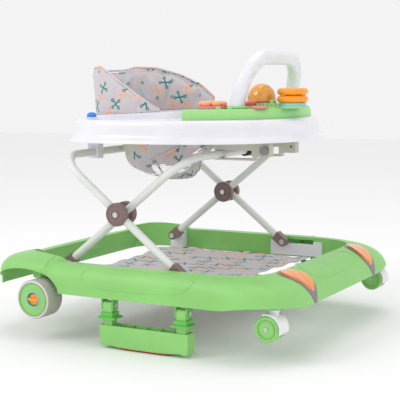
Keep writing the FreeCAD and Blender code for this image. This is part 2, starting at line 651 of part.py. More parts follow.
clevis_parts = []
pin_parts = []
for end, x in ARMS.items():
    clevis_parts += [clevis(end, x)]
    clevis_parts += [mirrored("clevis_%s_right" % end, clevis_parts[-1])]
    pin_parts += [hinge_pin(end, x)]
    pin_parts += [mirrored("hinge_pin_%s_right" % end, pin_parts[-1])]
stopper_clevises = group("stopper_clevises", *clevis_parts)
stopper_pins = group("stopper_pins", *pin_parts)
stoppers = {name: (stopper_bar(name, side), stopper_pad(name, side), lock_collars(name, side))
            for name, side in SIDES.items()}

# ---------------------------------------------------------------- crossed legs

PIVOT_X = "((foot_back + foot_front) / 2)"
RISE = "sqrt(leg_length * leg_length - (foot_front - foot_back) * (foot_front - foot_back))"
PIVOT_Z = "(foot_height + %s / 2)" % RISE
TOP_Z = "(foot_height + %s)" % RISE
span = size("foot_front") - size("foot_back")
lean_angle = math.degrees(math.acos(span / size("leg_length")))
INNER_PLACE = Placement(Vector(size("foot_back"), 0, size("foot_height")), Rotation(Vector(0, 1, 0), -lean_angle))
OUTER_PLACE = Placement(Vector(size("foot_front"), 0, size("foot_height")),
                        Rotation(Vector(0, 1, 0), lean_angle - 180))


def leg_path(half):
    """The centre line of a U frame, flat: two legs along X joined by a crossbar with round bends."""
    start, end, bend = size("tube_start"), size("leg_length"), size("bend_radius")
    corner = bend * (1 - math.sqrt(0.5))
    points = [Vector(start, -half, 0), Vector(end - bend, -half, 0), Vector(end, bend - half, 0),
              Vector(end, half - bend, 0), Vector(end - bend, half, 0), Vector(start, half, 0)]
    edges = [Part.LineSegment(points[0], points[1]),
             Part.Arc(points[1], Vector(end - corner, corner - half, 0), points[2]),
             Part.LineSegment(points[2], points[3]),
             Part.Arc(points[3], Vector(end - corner, half - corner, 0), points[4]),
             Part.LineSegment(points[4], points[5])]
    return Part.Wire([edge.toShape() for edge in edges])


def swept_round(path, radius):
    """A round bar along a path."""
    first = path.OrderedEdges[0]
    start = first.valueAt(first.FirstParameter)
    heading = first.tangentAt(first.FirstParameter)
    ring_edge = Part.Wire(Part.makeCircle(radius, start, heading))
    return path.makePipeShell([ring_edge], True, False)


def leg_tube(label, half, placement):
    path = leg_path(half)
    tube = swept_round(path, size("tube_radius")).cut(swept_round(path, size("tube_radius") - size("tube_wall")))
    return feature(label, tube, placement)


def pivot_rods(label, radius):
    """A bar through both sides' pivots, to bore them."""
    return rod(label, radius, "3 * outer_leg_y", PIVOT_X, "-1.5 * outer_leg_y", PIVOT_Z, ALONG_Y)


def foot_caps(label, half, placement, bore):
    """Plastic shoes over the tube ends, round about the foot pin."""
    caps = []
    for y in (half, -half):
        round_end = Part.makeCylinder(size("cap_height") / 2, size("cap_width"),
                                      Vector(0, y - size("cap_width") / 2, 0), Vector(0, 1, 0))
        block = Part.makeBox(size("cap_length") - size("cap_height") / 2, size("cap_width"), size("cap_height"),
                             Vector(0, y - size("cap_width") / 2, -size("cap_height") / 2))
        hole = Part.makeCylinder(bore, size("cap_width") * 2, Vector(0, y - size("cap_width"), 0), Vector(0, 1, 0))
        socket = Part.makeCylinder(size("tube_radius"), size("leg_length"), Vector(size("tube_start"), y, 0),
                                   Vector(1, 0, 0))
        caps.append(round_end.fuse(block).cut(hole).cut(socket))
    return feature(label, Part.makeCompound(caps), placement)


def pivot_discs(label, half, outward, frame, bore):
    """Round plastic cheeks hugging the tube on its outer or inner side."""
    start = half - 1 if outward > 0 else half + 1 - size("disc_out")
    discs = []
    solid_tube = swept_round(leg_path(half), size("tube_radius"))
    for side in (LEFT, RIGHT):
        y = start if side > 0 else -start - size("disc_out")
        disc = Part.makeCylinder(size("disc_radius"), size("disc_out"), Vector(size("leg_length") / 2, y, 0),
                                 Vector(0, 1, 0))
        disc = disc.makeChamfer(1.5, [edge for edge in disc.Edges if edge.Curve.TypeId == "Part::GeomCircle"])
        hole = Part.makeCylinder(bore, 60, Vector(size("leg_length") / 2, y - 20, 0), Vector(0, 1, 0))
        discs.append(disc.cut(solid_tube).cut(hole))
    return feature(label, Part.makeCompound(discs), frame)


loose_bolt = size("bolt_radius") + size("running_gap")
inner_leg_frame = cut("inner_leg_frame", leg_tube("inner_tube", size("inner_leg_y"), INNER_PLACE),
                      pivot_rods("inner_pivot_bore", "bolt_radius + running_gap"))
outer_leg_frame = cut("outer_leg_frame", leg_tube("outer_tube", size("outer_leg_y"), OUTER_PLACE),
                      pivot_rods("outer_pivot_bore", "bolt_radius"))
inner_foot_caps = foot_caps("inner_foot_caps", size("inner_leg_y"), INNER_PLACE,
                            size("foot_pin") + size("running_gap"))
outer_foot_caps = foot_caps("outer_foot_caps", size("outer_leg_y"), OUTER_PLACE, size("foot_pin"))
inner_pivot_discs = pivot_discs("inner_pivot_discs", size("inner_leg_y"), -1, INNER_PLACE, loose_bolt)
outer_pivot_discs = pivot_discs("outer_pivot_discs", size("outer_leg_y"), 1, OUTER_PLACE, size("bolt_radius"))

bolt_left = joined(
    "bolt_left",
    rod("bolt_shaft", "bolt_radius", "outer_leg_y - inner_leg_y + 2 * disc_out", PIVOT_X,
        "inner_leg_y - disc_out", PIVOT_Z, ALONG_Y),
    rod("bolt_head", "bolt_head", "2", PIVOT_X, "outer_leg_y + disc_out - 1", PIVOT_Z, ALONG_Y),
    rod("bolt_nut", "bolt_head", "2", PIVOT_X, "inner_leg_y - disc_out - 1.2", PIVOT_Z, ALONG_Y),
    rod("bolt_washer", "tube_radius", "outer_leg_y - inner_leg_y - 2 * tube_radius - 0.4", PIVOT_X,
        "inner_leg_y + tube_radius + 0.4", PIVOT_Z, ALONG_Y))
pivot_bolts = group("pivot_bolts", bolt_left, mirrored("bolt_right", bolt_left))
slot_pin_left = joined(
    "slot_pin_left",
    rod("slot_shaft", "foot_pin", "hole_width / 2 + 8 - outer_leg_y + cap_width / 2", "foot_front",
        "outer_leg_y - cap_width / 2", "foot_height", ALONG_Y),
    rod("slot_rivet", "foot_pin + 2", "1.5", "foot_front", "outer_leg_y - cap_width / 2 - 1.5",
        "foot_height", ALONG_Y),
    rod("slot_head", "foot_pin + 2.5", "3", "foot_front", "hole_width / 2 + rail_wall + 1.6",
        "foot_height", ALONG_Y))
slot_pins = group("slot_pins", slot_pin_left, mirrored("slot_pin_right", slot_pin_left))

# ---------------------------------------------------------------- tray

# How far the skirt has come in (second value, mm) at each share of its height (first value)
SKIRT = ((0, 0), (0.09, 1), (0.2, 5.5), (0.75, 11), (0.93, 14.5), (1, 20))
TRAY_POWER, TRAY_BACK_POWER, SEAT_POWER = 2.4, 2, 2.2


def tray_loop(inset, z):
    return rounded_loop(size("tray_middle"), size("tray_back") - inset, size("tray_front") - inset,
                        size("tray_width") / 2 - inset, TRAY_POWER, z, 60, TRAY_BACK_POWER)


def tray_body(inset):
    low, high = size("tray_lip"), size("tray_top") - inset
    return loft([tray_loop(reach + inset, low + (high - low) * share) for share, reach in SKIRT])


def seat_prism(grow, low, high):
    """The seat's opening through the tray, grown all round by grow."""
    reach = size("seat_reach") + grow
    return prism(rounded_loop(size("seat_x"), reach, reach, size("seat_width") / 2 + grow, SEAT_POWER, low, 48),
                 high - low)


def side_prism(corners):
    """A solid with a given side view, from (x, z) corners, wider than the walker."""
    half = size("base_width")
    wire = Part.makePolygon([Vector(x, -half, z) for x, z in corners + corners[:1]])
    return Part.Face(wire).extrude(Vector(0, 2 * half, 0))


def plinth_height(x):
    """The sloping top of the rim round the seat."""
    reach = size("seat_reach") + size("plinth_width")
    share = (x - size("seat_x") + reach) / (2 * reach)
    return size("plinth_back") + (size("plinth_front") - size("plinth_back")) * share


def tray_shell():
    rim_back = size("seat_x") - size("seat_reach") - size("plinth_width") - 5
    rim_front = size("seat_x") + size("seat_reach") + size("plinth_width") + 5
    deck = size("tray_top")
    wedge = side_prism([(rim_back, deck - 1), (rim_front, deck - 1), (rim_front, plinth_height(rim_front)),
                        (rim_back, plinth_height(rim_back))])
    plinth = seat_prism(size("plinth_width"), deck - 1, deck + 100).common(wedge)
    shell = tray_body(0).cut(tray_body(size("tray_wall"))).fuse(plinth)
    return shell.cut(seat_prism(0, 0, 600))


tray = feature("tray_shell", tray_shell())
DECK = "(tray_top - tray_wall)"
clip_solid = box("clip_solid", "2 * (tube_radius + clip_wall)", "clip_width", DECK + " - %s + tube_radius + clip_wall"
                 % TOP_Z, "foot_back", "clip_y", TOP_Z + " - tube_radius - clip_wall")
clip_left = cut("clip_left", clip_solid, rod("clip_bore", "tube_radius + running_gap", "clip_width * 2", "foot_back",
                                             "clip_y - clip_width", TOP_Z, ALONG_Y))
crossbar_clips = group("crossbar_clips", clip_left, mirrored("clip_right", clip_left))
guide_solid = box("guide_solid", "slot_travel + 2 * (tube_radius + guide_wall + guide_gap)", "guide_width",
                  DECK + " - %s + tube_radius + guide_wall" % TOP_Z, "foot_front + slot_travel / 2", "guide_y",
                  TOP_Z + " - tube_radius - guide_wall")
guide_way = box("guide_way", "slot_travel + 2 * (tube_radius + guide_gap)", "guide_width * 2",
                "2 * (tube_radius + guide_gap)", "foot_front + slot_travel / 2", "guide_y",
                TOP_Z + " - tube_radius - guide_gap")
GUIDE_END = "(foot_front + slot_travel + tube_radius + guide_wall + guide_gap)"
SCREW_X = "(%s + lug_reach - screw_head - 1)" % GUIDE_END
SCREW_Z = "(lug_bottom + lug_height / 2)"
guide_lug = box("guide_lug", "lug_reach + guide_wall", "guide_width", "lug_height",
                GUIDE_END + " + (lug_reach - guide_wall) / 2", "guide_y", "lug_bottom")
lug_bore = rod("lug_bore", "screw_shaft + running_gap", "guide_width * 2", SCREW_X, "guide_y - guide_width",
               SCREW_Z, ALONG_Y)
guide_left = cut("guide_left", joined("guide_blank", guide_solid, guide_lug), guide_way, lug_bore)
front_guides = group("front_guides", guide_left, mirrored("guide_right", guide_left))
lock_screw = joined(
    "lock_screw",
    rod("screw_stem", "screw_shaft", "guide_width + screw_depth / 2 + 2", SCREW_X,
        "-guide_y - guide_width / 2 - screw_depth / 2", SCREW_Z, ALONG_Y),
    rod("screw_cap", "screw_head", "screw_depth", SCREW_X,
        "-guide_y - guide_width / 2 - screw_depth - slide_gap", SCREW_Z, ALONG_Y),
    rod("screw_nut", "screw_shaft + 2", "2", SCREW_X, "-guide_y + guide_width / 2 + slide_gap", SCREW_Z, ALONG_Y))

# ---------------------------------------------------------------- seat

# The sling's (height above its bottom, middle x, half length, half width), from the rim down
SLING = ((135, -89, 133, 112), (106, -80, 122, 110), (82, -69, 112, 106), (62, -78, 98, 98),
         (34, -88, 84, 86), (12, -70, 58, 60), (0, -55, 30, 32))


def sling_body(inset):
    wires = [rounded_loop(middle, reach - inset, reach - inset, wide - inset, 2, size("sling_bottom") + up + lift, 36)
             for (up, middle, reach, wide), lift in zip(SLING, [inset * 2] + [0] * 5 + [inset])]
    return loft(wires)


def seat_sling():
    bag = sling_body(0).cut(sling_body(size("sling_thick")))
    for y in (size("leg_hole_y"), -size("leg_hole_y")):
        bag = bag.cut(Part.makeCylinder(size("leg_hole"), 200, Vector(size("seat_x") + 20, y, size("leg_hole_z")),
                                        Vector(1, 0, 0)))
    return bag


def seat_back():
    """A padded wall round the back of the seat, standing on the tray's rim."""
    ring_wall = seat_prism(size("back_thick") + 1, 0, 700).cut(seat_prism(1, 0, 700))
    back = size("seat_x") - size("seat_reach") - size("plinth_width") - 10
    front = size("back_front")
    view = side_prism([(back, plinth_height(back)), (front, plinth_height(front)), (front, size("back_front_top")),
                       (size("back_slope_start"), size("back_top") - 8), (size("back_slope_start") - 40,
                       size("back_top")), (back, size("back_top"))])
    return ring_wall.common(view)


sling = feature("seat_sling", seat_sling())
back_pad = feature("seat_back", seat_back())

# ---------------------------------------------------------------- toy panel


def panel_solid():
    low, high = size("tray_top"), size("panel_top")
    inset = size("panel_inset")
    block = loft([tray_loop(inset, low), tray_loop(inset + 1, high - 4), tray_loop(inset + 4, high)])
    keep = Part.makeBox(900, 900, 200, Vector(size("panel_back"), -450, low - 50))
    block = block.common(keep)
    for y in (size("handle_y"), -size("handle_y")):
        block = block.fuse(Part.makeCylinder(size("boss_radius"), size("boss_height") + 1,
                                             Vector(size("handle_x"), y, high - 1)))
    return block.fuse(Part.makeCylinder(size("dome_radius") + 3, size("dome_base") - high - 0.5 + 1,
                                        Vector(size("dome_x"), size("dome_y"), high - 1)))


def handle_solid():
    """An arch across the panel, leaning forward as it rises."""
    half, bend = size("handle_y"), size("handle_bend")
    rise = size("handle_top") - size("handle_radius") - size("panel_top") - size("boss_height")
    height = math.hypot(rise, size("handle_lean"))
    corner = bend * (1 - math.sqrt(0.5))
    points = [Vector(0, -half, 0), Vector(0, -half, height - bend), Vector(0, bend - half, height),
              Vector(0, half - bend, height), Vector(0, half, height - bend), Vector(0, half, 0)]
    edges = [Part.LineSegment(points[0], points[1]),
             Part.Arc(points[1], Vector(0, corner - half, height - corner), points[2]),
             Part.LineSegment(points[2], points[3]),
             Part.Arc(points[3], Vector(0, half - corner, height - corner), points[4]),
             Part.LineSegment(points[4], points[5])]
    arch = swept_round(Part.Wire([edge.toShape() for edge in edges]), size("handle_radius"))
    lean = math.degrees(math.atan2(size("handle_lean"), rise))
    arch.Placement = Placement(Vector(size("handle_x"), 0, size("panel_top") + size("boss_height")),
                               Rotation(Vector(0, 1, 0), lean))
    floor = Part.makeBox(400, 600, 100, Vector(size("handle_x") - 200, -300,
                                               size("panel_top") + size("boss_height") - 100))
    return arch.cut(floor)


toy_panel = feature("toy_panel", panel_solid())
handle_arch = feature("handle_arch", handle_solid())
ring_post = joined("ring_post",
                   rod("stack_disc", "stack_base", "stack_floor - panel_top", "stack_x", "stack_y", "panel_top"),
                   rod("stack_post", "post_radius", "post_top - panel_top", "stack_x", "stack_y", "panel_top"))
rings = []
for number, name in enumerate(("lower", "upper")):
    torus = doc.addObject("Part::Torus", "ring_" + name)
    bind(torus, Radius1="ring_major", Radius2="ring_minor")
    rings.append(place(torus, "stack_x", "stack_y",
                       "stack_floor + toy_gap + ring_minor + %d * (2 * ring_minor + toy_gap)" % number))
dome_cap = doc.addObject("Part::Sphere", "dome_cap")
bind(dome_cap, Radius="dome_radius")
dome_cap.Angle1 = 0
place(dome_cap, "dome_x", "dome_y", "dome_base + 10")
dome_roller = joined("dome_roller", dome_cap, rod("dome_skirt", "dome_radius", "10", "dome_x", "dome_y", "dome_base"))
flower_disc = rod("flower_disc", "flower_radius", "5.5", "flower_x", "flower_y", "panel_top + toy_gap")
petal_parts = [rod("flower_middle", "petal_radius + 1", "6", "flower_x", "flower_y", "panel_top + toy_gap + 5.5")]
for i in range(int(size("petals"))):
    angle = 360 / size("petals") * i
    petal_parts.append(rod("petal_%d" % i, "petal_radius + 2", "5",
                           "flower_x + cos(%g) * petal_radius * 1.9" % angle,
                           "flower_y + sin(%g) * petal_radius * 1.9" % angle, "panel_top + toy_gap + 5.5"))
flower_petals = joined("flower_petals", *petal_parts)


def toy_gear():
    """A toothed disc with a small knob off its middle."""
    teeth = int(size("gear_teeth"))
    reach = size("gear_radius")
    points = []
    for i in range(teeth * 4):
        radius = reach if i % 4 in (0, 1) else reach - 3
        angle = 2 * math.pi * i / (teeth * 4)
        points.append(Vector(radius * math.cos(angle), radius * math.sin(angle), 0))
    disc = Part.Face(Part.makePolygon(points + points[:1])).extrude(Vector(0, 0, 9))
    knob = Part.makeCylinder(4, 8, Vector(reach / 2, 0, 8))
    return disc.fuse(knob)


gear = feature("toy_gear", toy_gear(),
               Placement(Vector(size("gear_x"), size("gear_y"), size("panel_top") + size("toy_gap")), Rotation()))
mirror_disc = rod("mirror_disc", "mirror_radius", "5", "mirror_x", "mirror_y", "panel_top + toy_gap")
red_button = rod("red_button", "red_radius", "10", "red_x", "red_y", "panel_top + press + toy_gap")
tray_button = joined("tray_button",
                     rod("button_skirt", "button_radius", "8", "button_x", "button_y", "tray_top + press + toy_gap"),
                     rod("button_crown", "button_radius - 2", "10", "button_x", "button_y",
                         "tray_top + press + toy_gap"))

# ---------------------------------------------------------------- checks and export

NODES = [ring, slot_plates, rear_brackets, rear_foot_pins, mat_hooks, floor_mat, mat_straps, lamp_lenses,
         lamp_bezels, rear_axles, wheel_hangers, caster_sockets, stopper_clevises, stopper_pins,
         inner_leg_frame, inner_foot_caps, inner_pivot_discs, outer_leg_frame, outer_foot_caps, slot_pins,
         outer_pivot_discs, pivot_bolts, tray, crossbar_clips, front_guides, sling, back_pad, toy_panel,
         handle_arch, ring_post, dome_roller, flower_disc, flower_petals, gear, mirror_disc, red_button,
         tray_button, lock_screw] + rings
for name in SIDES:
    NODES += list(rear_wheels[name]) + [brake_knobs[name]] + list(casters[name]) + list(stoppers[name])

doc.recompute()
for thing in doc.Objects:
    if "Invalid" in thing.State or "Error" in thing.State:
        raise RuntimeError("%s could not be built" % thing.Label)
for node in NODES:
    if node.Shape.isNull() or not node.Shape.isValid() or not node.Shape.Solids:
        raise RuntimeError("%s is not a valid solid" % node.Label)

os.makedirs("parts", exist_ok=True)
for node in NODES:
    node.Shape.exportStep("parts/%s.step" % node.Label)
print("%d nodes written" % len(NODES))
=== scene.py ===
"""Baby walker: materials, soft goods, small trim and a plain studio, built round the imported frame."""
import math

import bmesh
import bpy
import numpy as np
from bpy.props import FloatProperty, FloatVectorProperty, PointerProperty
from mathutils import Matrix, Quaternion, Vector


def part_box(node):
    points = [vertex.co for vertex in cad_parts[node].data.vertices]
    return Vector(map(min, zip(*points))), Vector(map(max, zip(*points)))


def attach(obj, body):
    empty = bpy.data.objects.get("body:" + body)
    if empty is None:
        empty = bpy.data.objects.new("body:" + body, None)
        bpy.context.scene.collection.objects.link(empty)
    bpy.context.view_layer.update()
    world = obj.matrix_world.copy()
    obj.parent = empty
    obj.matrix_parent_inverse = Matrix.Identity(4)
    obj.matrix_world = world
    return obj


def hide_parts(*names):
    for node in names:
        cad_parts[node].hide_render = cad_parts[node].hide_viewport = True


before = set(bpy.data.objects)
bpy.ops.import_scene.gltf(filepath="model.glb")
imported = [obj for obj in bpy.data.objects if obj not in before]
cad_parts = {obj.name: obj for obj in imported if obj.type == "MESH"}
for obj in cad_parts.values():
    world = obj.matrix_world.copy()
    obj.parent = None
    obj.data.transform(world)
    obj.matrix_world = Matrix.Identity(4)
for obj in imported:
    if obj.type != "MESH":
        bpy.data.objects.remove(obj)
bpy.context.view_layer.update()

bl_info = {
    "name": "Baby walker",
    "version": (1, 0, 0),
    "blender": (4, 5, 0),
    "location": "View3D > Sidebar > Walker",
    "description": "Dresses the walker's frame with plastics, fabric and trim",
    "category": "Add Mesh",
}

SIDES = {"left": 1, "right": -1}

# Places and sizes in metres, angles in degrees, light in watts
BEYOND_SIDE, ABOVE_RAIL = 0.5, 0.4
SEAM_FROM, SEAM_TO = 0.258, 0.290
RIM_INSET, RIM_BEAD, RIM_SUNK = 0.0032, 0.0019, 0.0012
DISH_RING, DISH_BEAD, FACE_RING, FINE_BEAD, FINE_SUNK = 0.0158, 0.0012, 0.0318, 0.0007, 0.0004
PIVOT_RINGS, PIVOT_BEAD, INNER_DISC_STEP = (0.0185, 0.0095), 0.0008, 0.014
STRAP_PLACE, STRAP_STEP, STRAP_THICK = 0.040, 0.0052, 0.0030
HANDLE_SIDES, HANDLE_STEPS, HANDLE_SQUARENESS, PARTING = 40, 240, 2.5, 0.0005
DIMPLE_LONG, DIMPLE_ROUND = 0.0085, 0.50
WALL_OPENING, WALL_SOLID, BACK_PRESSURE, FOOT_HELD = 61, 0.013, 3.0, 0.004
SLING_VOXEL, SLING_PRESSURE, SLING_SWELL, RIM_HELD = 0.0032, 1.5, 0.003, 0.012
TUBE_RADIUS = 0.008
TUBE_SIDES = 14
BEAD_STEPS = 72
PANEL_DECK = 0.461
HANDLE_RADIUS, HANDLE_BEND = 0.013, 0.074
DIMPLE_START, DIMPLE_STEP = 0.064, 0.028
HOLE_RADIUS, HOLE_APART, HOLE_HEIGHT = 0.0375, 0.050, 0.356
MAT_WAIST, MAT_THICK, HEM_WIDE = 0.024, 0.0014, 0.0020
WEBBING_WIDE, WEBBING_THICK = 0.018, 0.0012
CLOTH_FRAMES = 20
WORLD_LIGHT = 0.90
LAMPS = (("key", 19, 1.2, (-1.5, -2.2, 2.4)), ("fill", 4, 1.6, (2.4, -1.4, 1.2)),
         ("top", 8, 1.6, (0.2, 0.4, 2.6)))
LAMPS_AIM = (0, 0, 0.25)
CAMERA_PLACE = (1.131, -2.006, 0.531)
CAMERA_TURN, CAMERA_TILT, CAMERA_ROLL = 29.4, 6.7, -0.7
CAMERA_LENS, CAMERA_SENSOR = 97.2, 36


# ---------------------------------------------------------------- settings

def colour(name, description, r, g, b):
    """A colour property, given as the eye sees it (0 to 255) and kept linear."""
    linear = tuple(((c / 255 + 0.055) / 1.055) ** 2.4 for c in (r, g, b))
    return FloatVectorProperty(name=name, description=description, subtype="COLOR", size=3, min=0, max=1,
                               default=linear)


def length(name, description, default):
    return FloatProperty(name=name, description=description, subtype="DISTANCE", unit="LENGTH",
                         default=default)


def factor(name, description, default):
    return FloatProperty(name=name, description=description, subtype="FACTOR", min=0, max=1, default=default)


class WalkerColours(bpy.types.PropertyGroup):
    """Colours of the plastics and fabrics."""
    rail_green: colour("Rail green", "Base ring, wheels and stoppers", 140, 206, 112)
    # Painted shade: the rail green darkened for the clevises, hooks and collars that sit in shade under the
    # rail
    shade_painted_green: colour("Deep green", "Clevises and hooks under the rail", 96, 190, 72)
    toy_green: colour("Toy green", "Toy panel", 138, 212, 112)
    tray_white: colour("Tray white", "Tray, handle and clips", 236, 235, 242)
    tube_grey: colour("Tube grey", "Powder coat of the legs", 226, 227, 224)
    cap_brown: colour("Cap brown", "Foot caps and pivot discs", 128, 104, 100)
    lens_amber: colour("Lens amber", "Lamps", 252, 150, 10)
    bezel_mauve: colour("Bezel mauve", "Lamp surrounds", 132, 112, 122)
    ring_orange: colour("Ring orange", "Stacking rings and brake knobs", 255, 158, 0)
    dome_amber: colour("Dome amber", "Roller dome", 240, 170, 62)
    pad_red: colour("Pad red", "Stopper pads", 178, 8, 22)
    button_blue: colour("Button blue", "Button on the tray", 0, 138, 244)
    disc_blue: colour("Disc blue", "Base of the ring post", 150, 214, 228)
    rose: colour("Rose", "Round press button", 226, 92, 104)
    peach: colour("Peach", "Flower petals", 248, 172, 120)
    pink: colour("Pink", "Flower base and mirror disc", 240, 132, 144)
    tread_grey: colour("Tread grey", "Rear wheels' tread", 178, 183, 168)
    rim_lilac: colour("Rim lilac", "Rear wheels' bead", 226, 212, 224)
    cloth: colour("Cloth", "Ground of the printed fabric", 212, 204, 208)
    lining: colour("Lining", "Plain strips of the seat", 206, 202, 188)
    print_teal: colour("Print teal", "Darker motifs of the print", 0, 132, 128)
    print_peach: colour("Print peach", "Lighter motifs of the print", 250, 178, 122)
    print_blue: colour("Print blue", "Pale shadow behind the motifs", 198, 208, 236)
    webbing: colour("Webbing", "Straps of the floor mat", 218, 218, 222)
    strap_black: colour("Strap black", "Strap round the front guide", 34, 32, 28)


class WalkerSizes(bpy.types.PropertyGroup):
    """Sizes of the soft goods, trim and finishes."""
    print_cell: length("Print cell", "Spacing of the print's motifs", 0.036)
    weave_pitch: length("Weave pitch", "Distance between threads", 0.0011)
    wall_thick: length("Wall thickness", "Padded seat back, before it swells", 0.010)
    seat_middle: length("Seat middle", "X of the seat opening's middle", -0.089)
    back_swell: length("Back swell", "Furthest that the seat back's padding may move", 0.006)
    mat_sag: length("Mat sag", "Hang of the floor mat's middle", 0.004)
    bead: length("Bead", "Radius of the moulded lines", 0.0019)
    handle_tall: length("Handle tall", "Half the handle's section, up and down", 0.0160)
    handle_flat: length("Handle flat", "Half the handle's section, front to back", 0.0135)
    dimple: length("Dimple", "Depth of the handle's finger dimples", 0.0032)
    wear: factor("Wear", "Lightening along edges", 0.25)


def colours():
    return bpy.context.scene.walker_colours


def sizes():
    return bpy.context.scene.walker_sizes


# ---------------------------------------------------------------- node helpers

def wired(tree, made, inputs):
    """Sets a node's inputs, or links them where the value is a socket."""
    for key, value in inputs.items():
        if isinstance(value, bpy.types.NodeSocket):
            tree.links.new(value, made.inputs[key])
        else:
            made.inputs[key].default_value = value


def node(tree, kind, inputs=None, **settings):
    """A shader node with settings and inputs, which may be values or sockets to link from."""
    made = tree.nodes.new(kind)
    for key, value in settings.items():
        setattr(made, key, value)
    wired(tree, made, inputs or {})
    return made


def maths(tree, operation, *values, clamp=False):
    return node(tree, "ShaderNodeMath", dict(enumerate(values)), operation=operation,
                use_clamp=clamp).outputs[0]


def times(tree, first, second, clamp=False):
    return maths(tree, "MULTIPLY", first, second, clamp=clamp)


def vector_maths(tree, operation, *values):
    made = node(tree, "ShaderNodeVectorMath", dict(enumerate(values)), operation=operation)
    return made.outputs["Value"] if operation in ("LENGTH", "DISTANCE", "DOT_PRODUCT") else made.outputs[0]


def mixed(tree, share, first, second, blend="MIX"):
    """A colour between two, by a share from 0 to 1."""
    made = node(tree, "ShaderNodeMix", {0: share, 6: first, 7: second}, data_type="RGBA", blend_type=blend)
    return made.outputs[2]


def noise(tree, vector, scale, detail=3.0, rough=0.55):
    return node(tree, "ShaderNodeTexNoise", {"Vector": vector, "Scale": scale, "Detail": detail,
                                             "Roughness": rough}).outputs["Fac"]


def spread(tree, value, low, high, to_low, to_high):
    return node(tree, "ShaderNodeMapRange", {0: value, 1: low, 2: high, 3: to_low, 4: to_high}).outputs[0]


def rgba(value):
    return (*value, 1.0)


def effect(name, inputs, outputs):
    """Turns nodes into a group, built once. inputs are (name, kind, default), outputs (name, kind)."""
    def of(build):
        def found_or_made():
            tree = bpy.data.node_groups.get(name)
            if not tree:
                tree = bpy.data.node_groups.new(name, "ShaderNodeTree")
                for label, kind, default in inputs:
                    socket = tree.interface.new_socket(label, in_out="INPUT", socket_type="NodeSocket" + kind)
                    if default is not None:
                        socket.default_value = default
                for label, kind in outputs:
                    tree.interface.new_socket(label, in_out="OUTPUT", socket_type="NodeSocket" + kind)
                start, end = tree.nodes.new("NodeGroupInput"), tree.nodes.new("NodeGroupOutput")
                results = build(tree, {s.name: s for s in start.outputs if s.name})
                for (label, _), result in zip(outputs, results):
                    tree.links.new(result, end.inputs[label])
            return tree
        return found_or_made
    return of


def use(tree, group, inputs):
    return node(tree, "ShaderNodeGroup", inputs, node_tree=group).outputs


# ---------------------------------------------------------------- shared effects

@effect("Moulded grain",
        [("Vector", "Vector", None), ("Scale", "Float", 900.0), ("Roughness", "Float", 0.35),
         ("Variation", "Float", 0.12)],
        [("Height", "Float"), ("Roughness", "Float")])
def moulded_grain(tree, given):
    """Fine orange-peel of moulded plastic, with slow changes of gloss."""
    fine = noise(tree, given["Vector"], given["Scale"], 2.0)
    slow = noise(tree, given["Vector"], 14.0, 3.0)
    rough = maths(tree, "ADD", given["Roughness"], times(tree, maths(tree, "SUBTRACT", slow, 0.5),
                                                         given["Variation"]))
    return fine, rough


@effect("Colour drift",
        [("Vector", "Vector", None), ("Colour", "Color", None), ("Edge", "Color", None),
         ("Scale", "Float", 9.0), ("Wear", "Float", 0.25)],
        [("Colour", "Color")])
def colour_drift(tree, given):
    """Slow lightening and darkening of a colour, paler along worn edges."""
    slow = noise(tree, given["Vector"], given["Scale"], 3.0)
    shade = spread(tree, slow, 0.3, 0.7, 0.93, 1.05)
    grey = node(tree, "ShaderNodeCombineColor", {0: shade, 1: shade, 2: shade}).outputs[0]
    varied = mixed(tree, 1.0, given["Colour"], grey, "MULTIPLY")
    edge = node(tree, "ShaderNodeNewGeometry").outputs["Pointiness"]
    speckle = noise(tree, given["Vector"], 160.0, 4.0)
    worn = times(tree, spread(tree, edge, 0.52, 0.62, 0.0, 1.0), speckle)
    share = times(tree, worn, given["Wear"], clamp=True)
    return (mixed(tree, share, varied, given["Edge"]),)


@effect("Fine dust",
        [("Vector", "Vector", None), ("Colour", "Color", None), ("Amount", "Float", 0.1)],
        [("Colour", "Color")])
def fine_dust(tree, given):
    """Pale dust that settles on faces that look up."""
    normal = node(tree, "ShaderNodeNewGeometry").outputs["Normal"]
    up = node(tree, "ShaderNodeSeparateXYZ", {0: normal}).outputs["Z"]
    patch = spread(tree, noise(tree, given["Vector"], 45.0, 5.0, 0.7), 0.45, 0.8, 0.0, 1.0)
    share = times(tree, times(tree, spread(tree, up, 0.3, 1.0, 0.0, 1.0), patch),
                  given["Amount"], clamp=True)
    return (mixed(tree, share, given["Colour"], (0.75, 0.74, 0.72, 1.0)),)


@effect("Plain weave",
        [("Vector", "Vector", None), ("Pitch", "Float", 0.001)],
        [("Height", "Float"), ("Shade", "Float")])
def plain_weave(tree, given):
    """Over-and-under threads of a plain cloth, from coordinates in metres along it."""
    axes = node(tree, "ShaderNodeSeparateXYZ", {0: given["Vector"]}).outputs
    waves = []
    for axis in (0, 1):
        turns = maths(tree, "DIVIDE", times(tree, axes[axis], math.pi), given["Pitch"])
        waves.append(maths(tree, "SINE", turns))
    crossed = times(tree, waves[0], waves[1])
    slub = noise(tree, given["Vector"], 320.0, 2.0)
    height = maths(tree, "ADD", times(tree, crossed, 0.5), times(tree, slub, 0.6))
    return height, spread(tree, height, -0.4, 0.9, 0.90, 1.05)


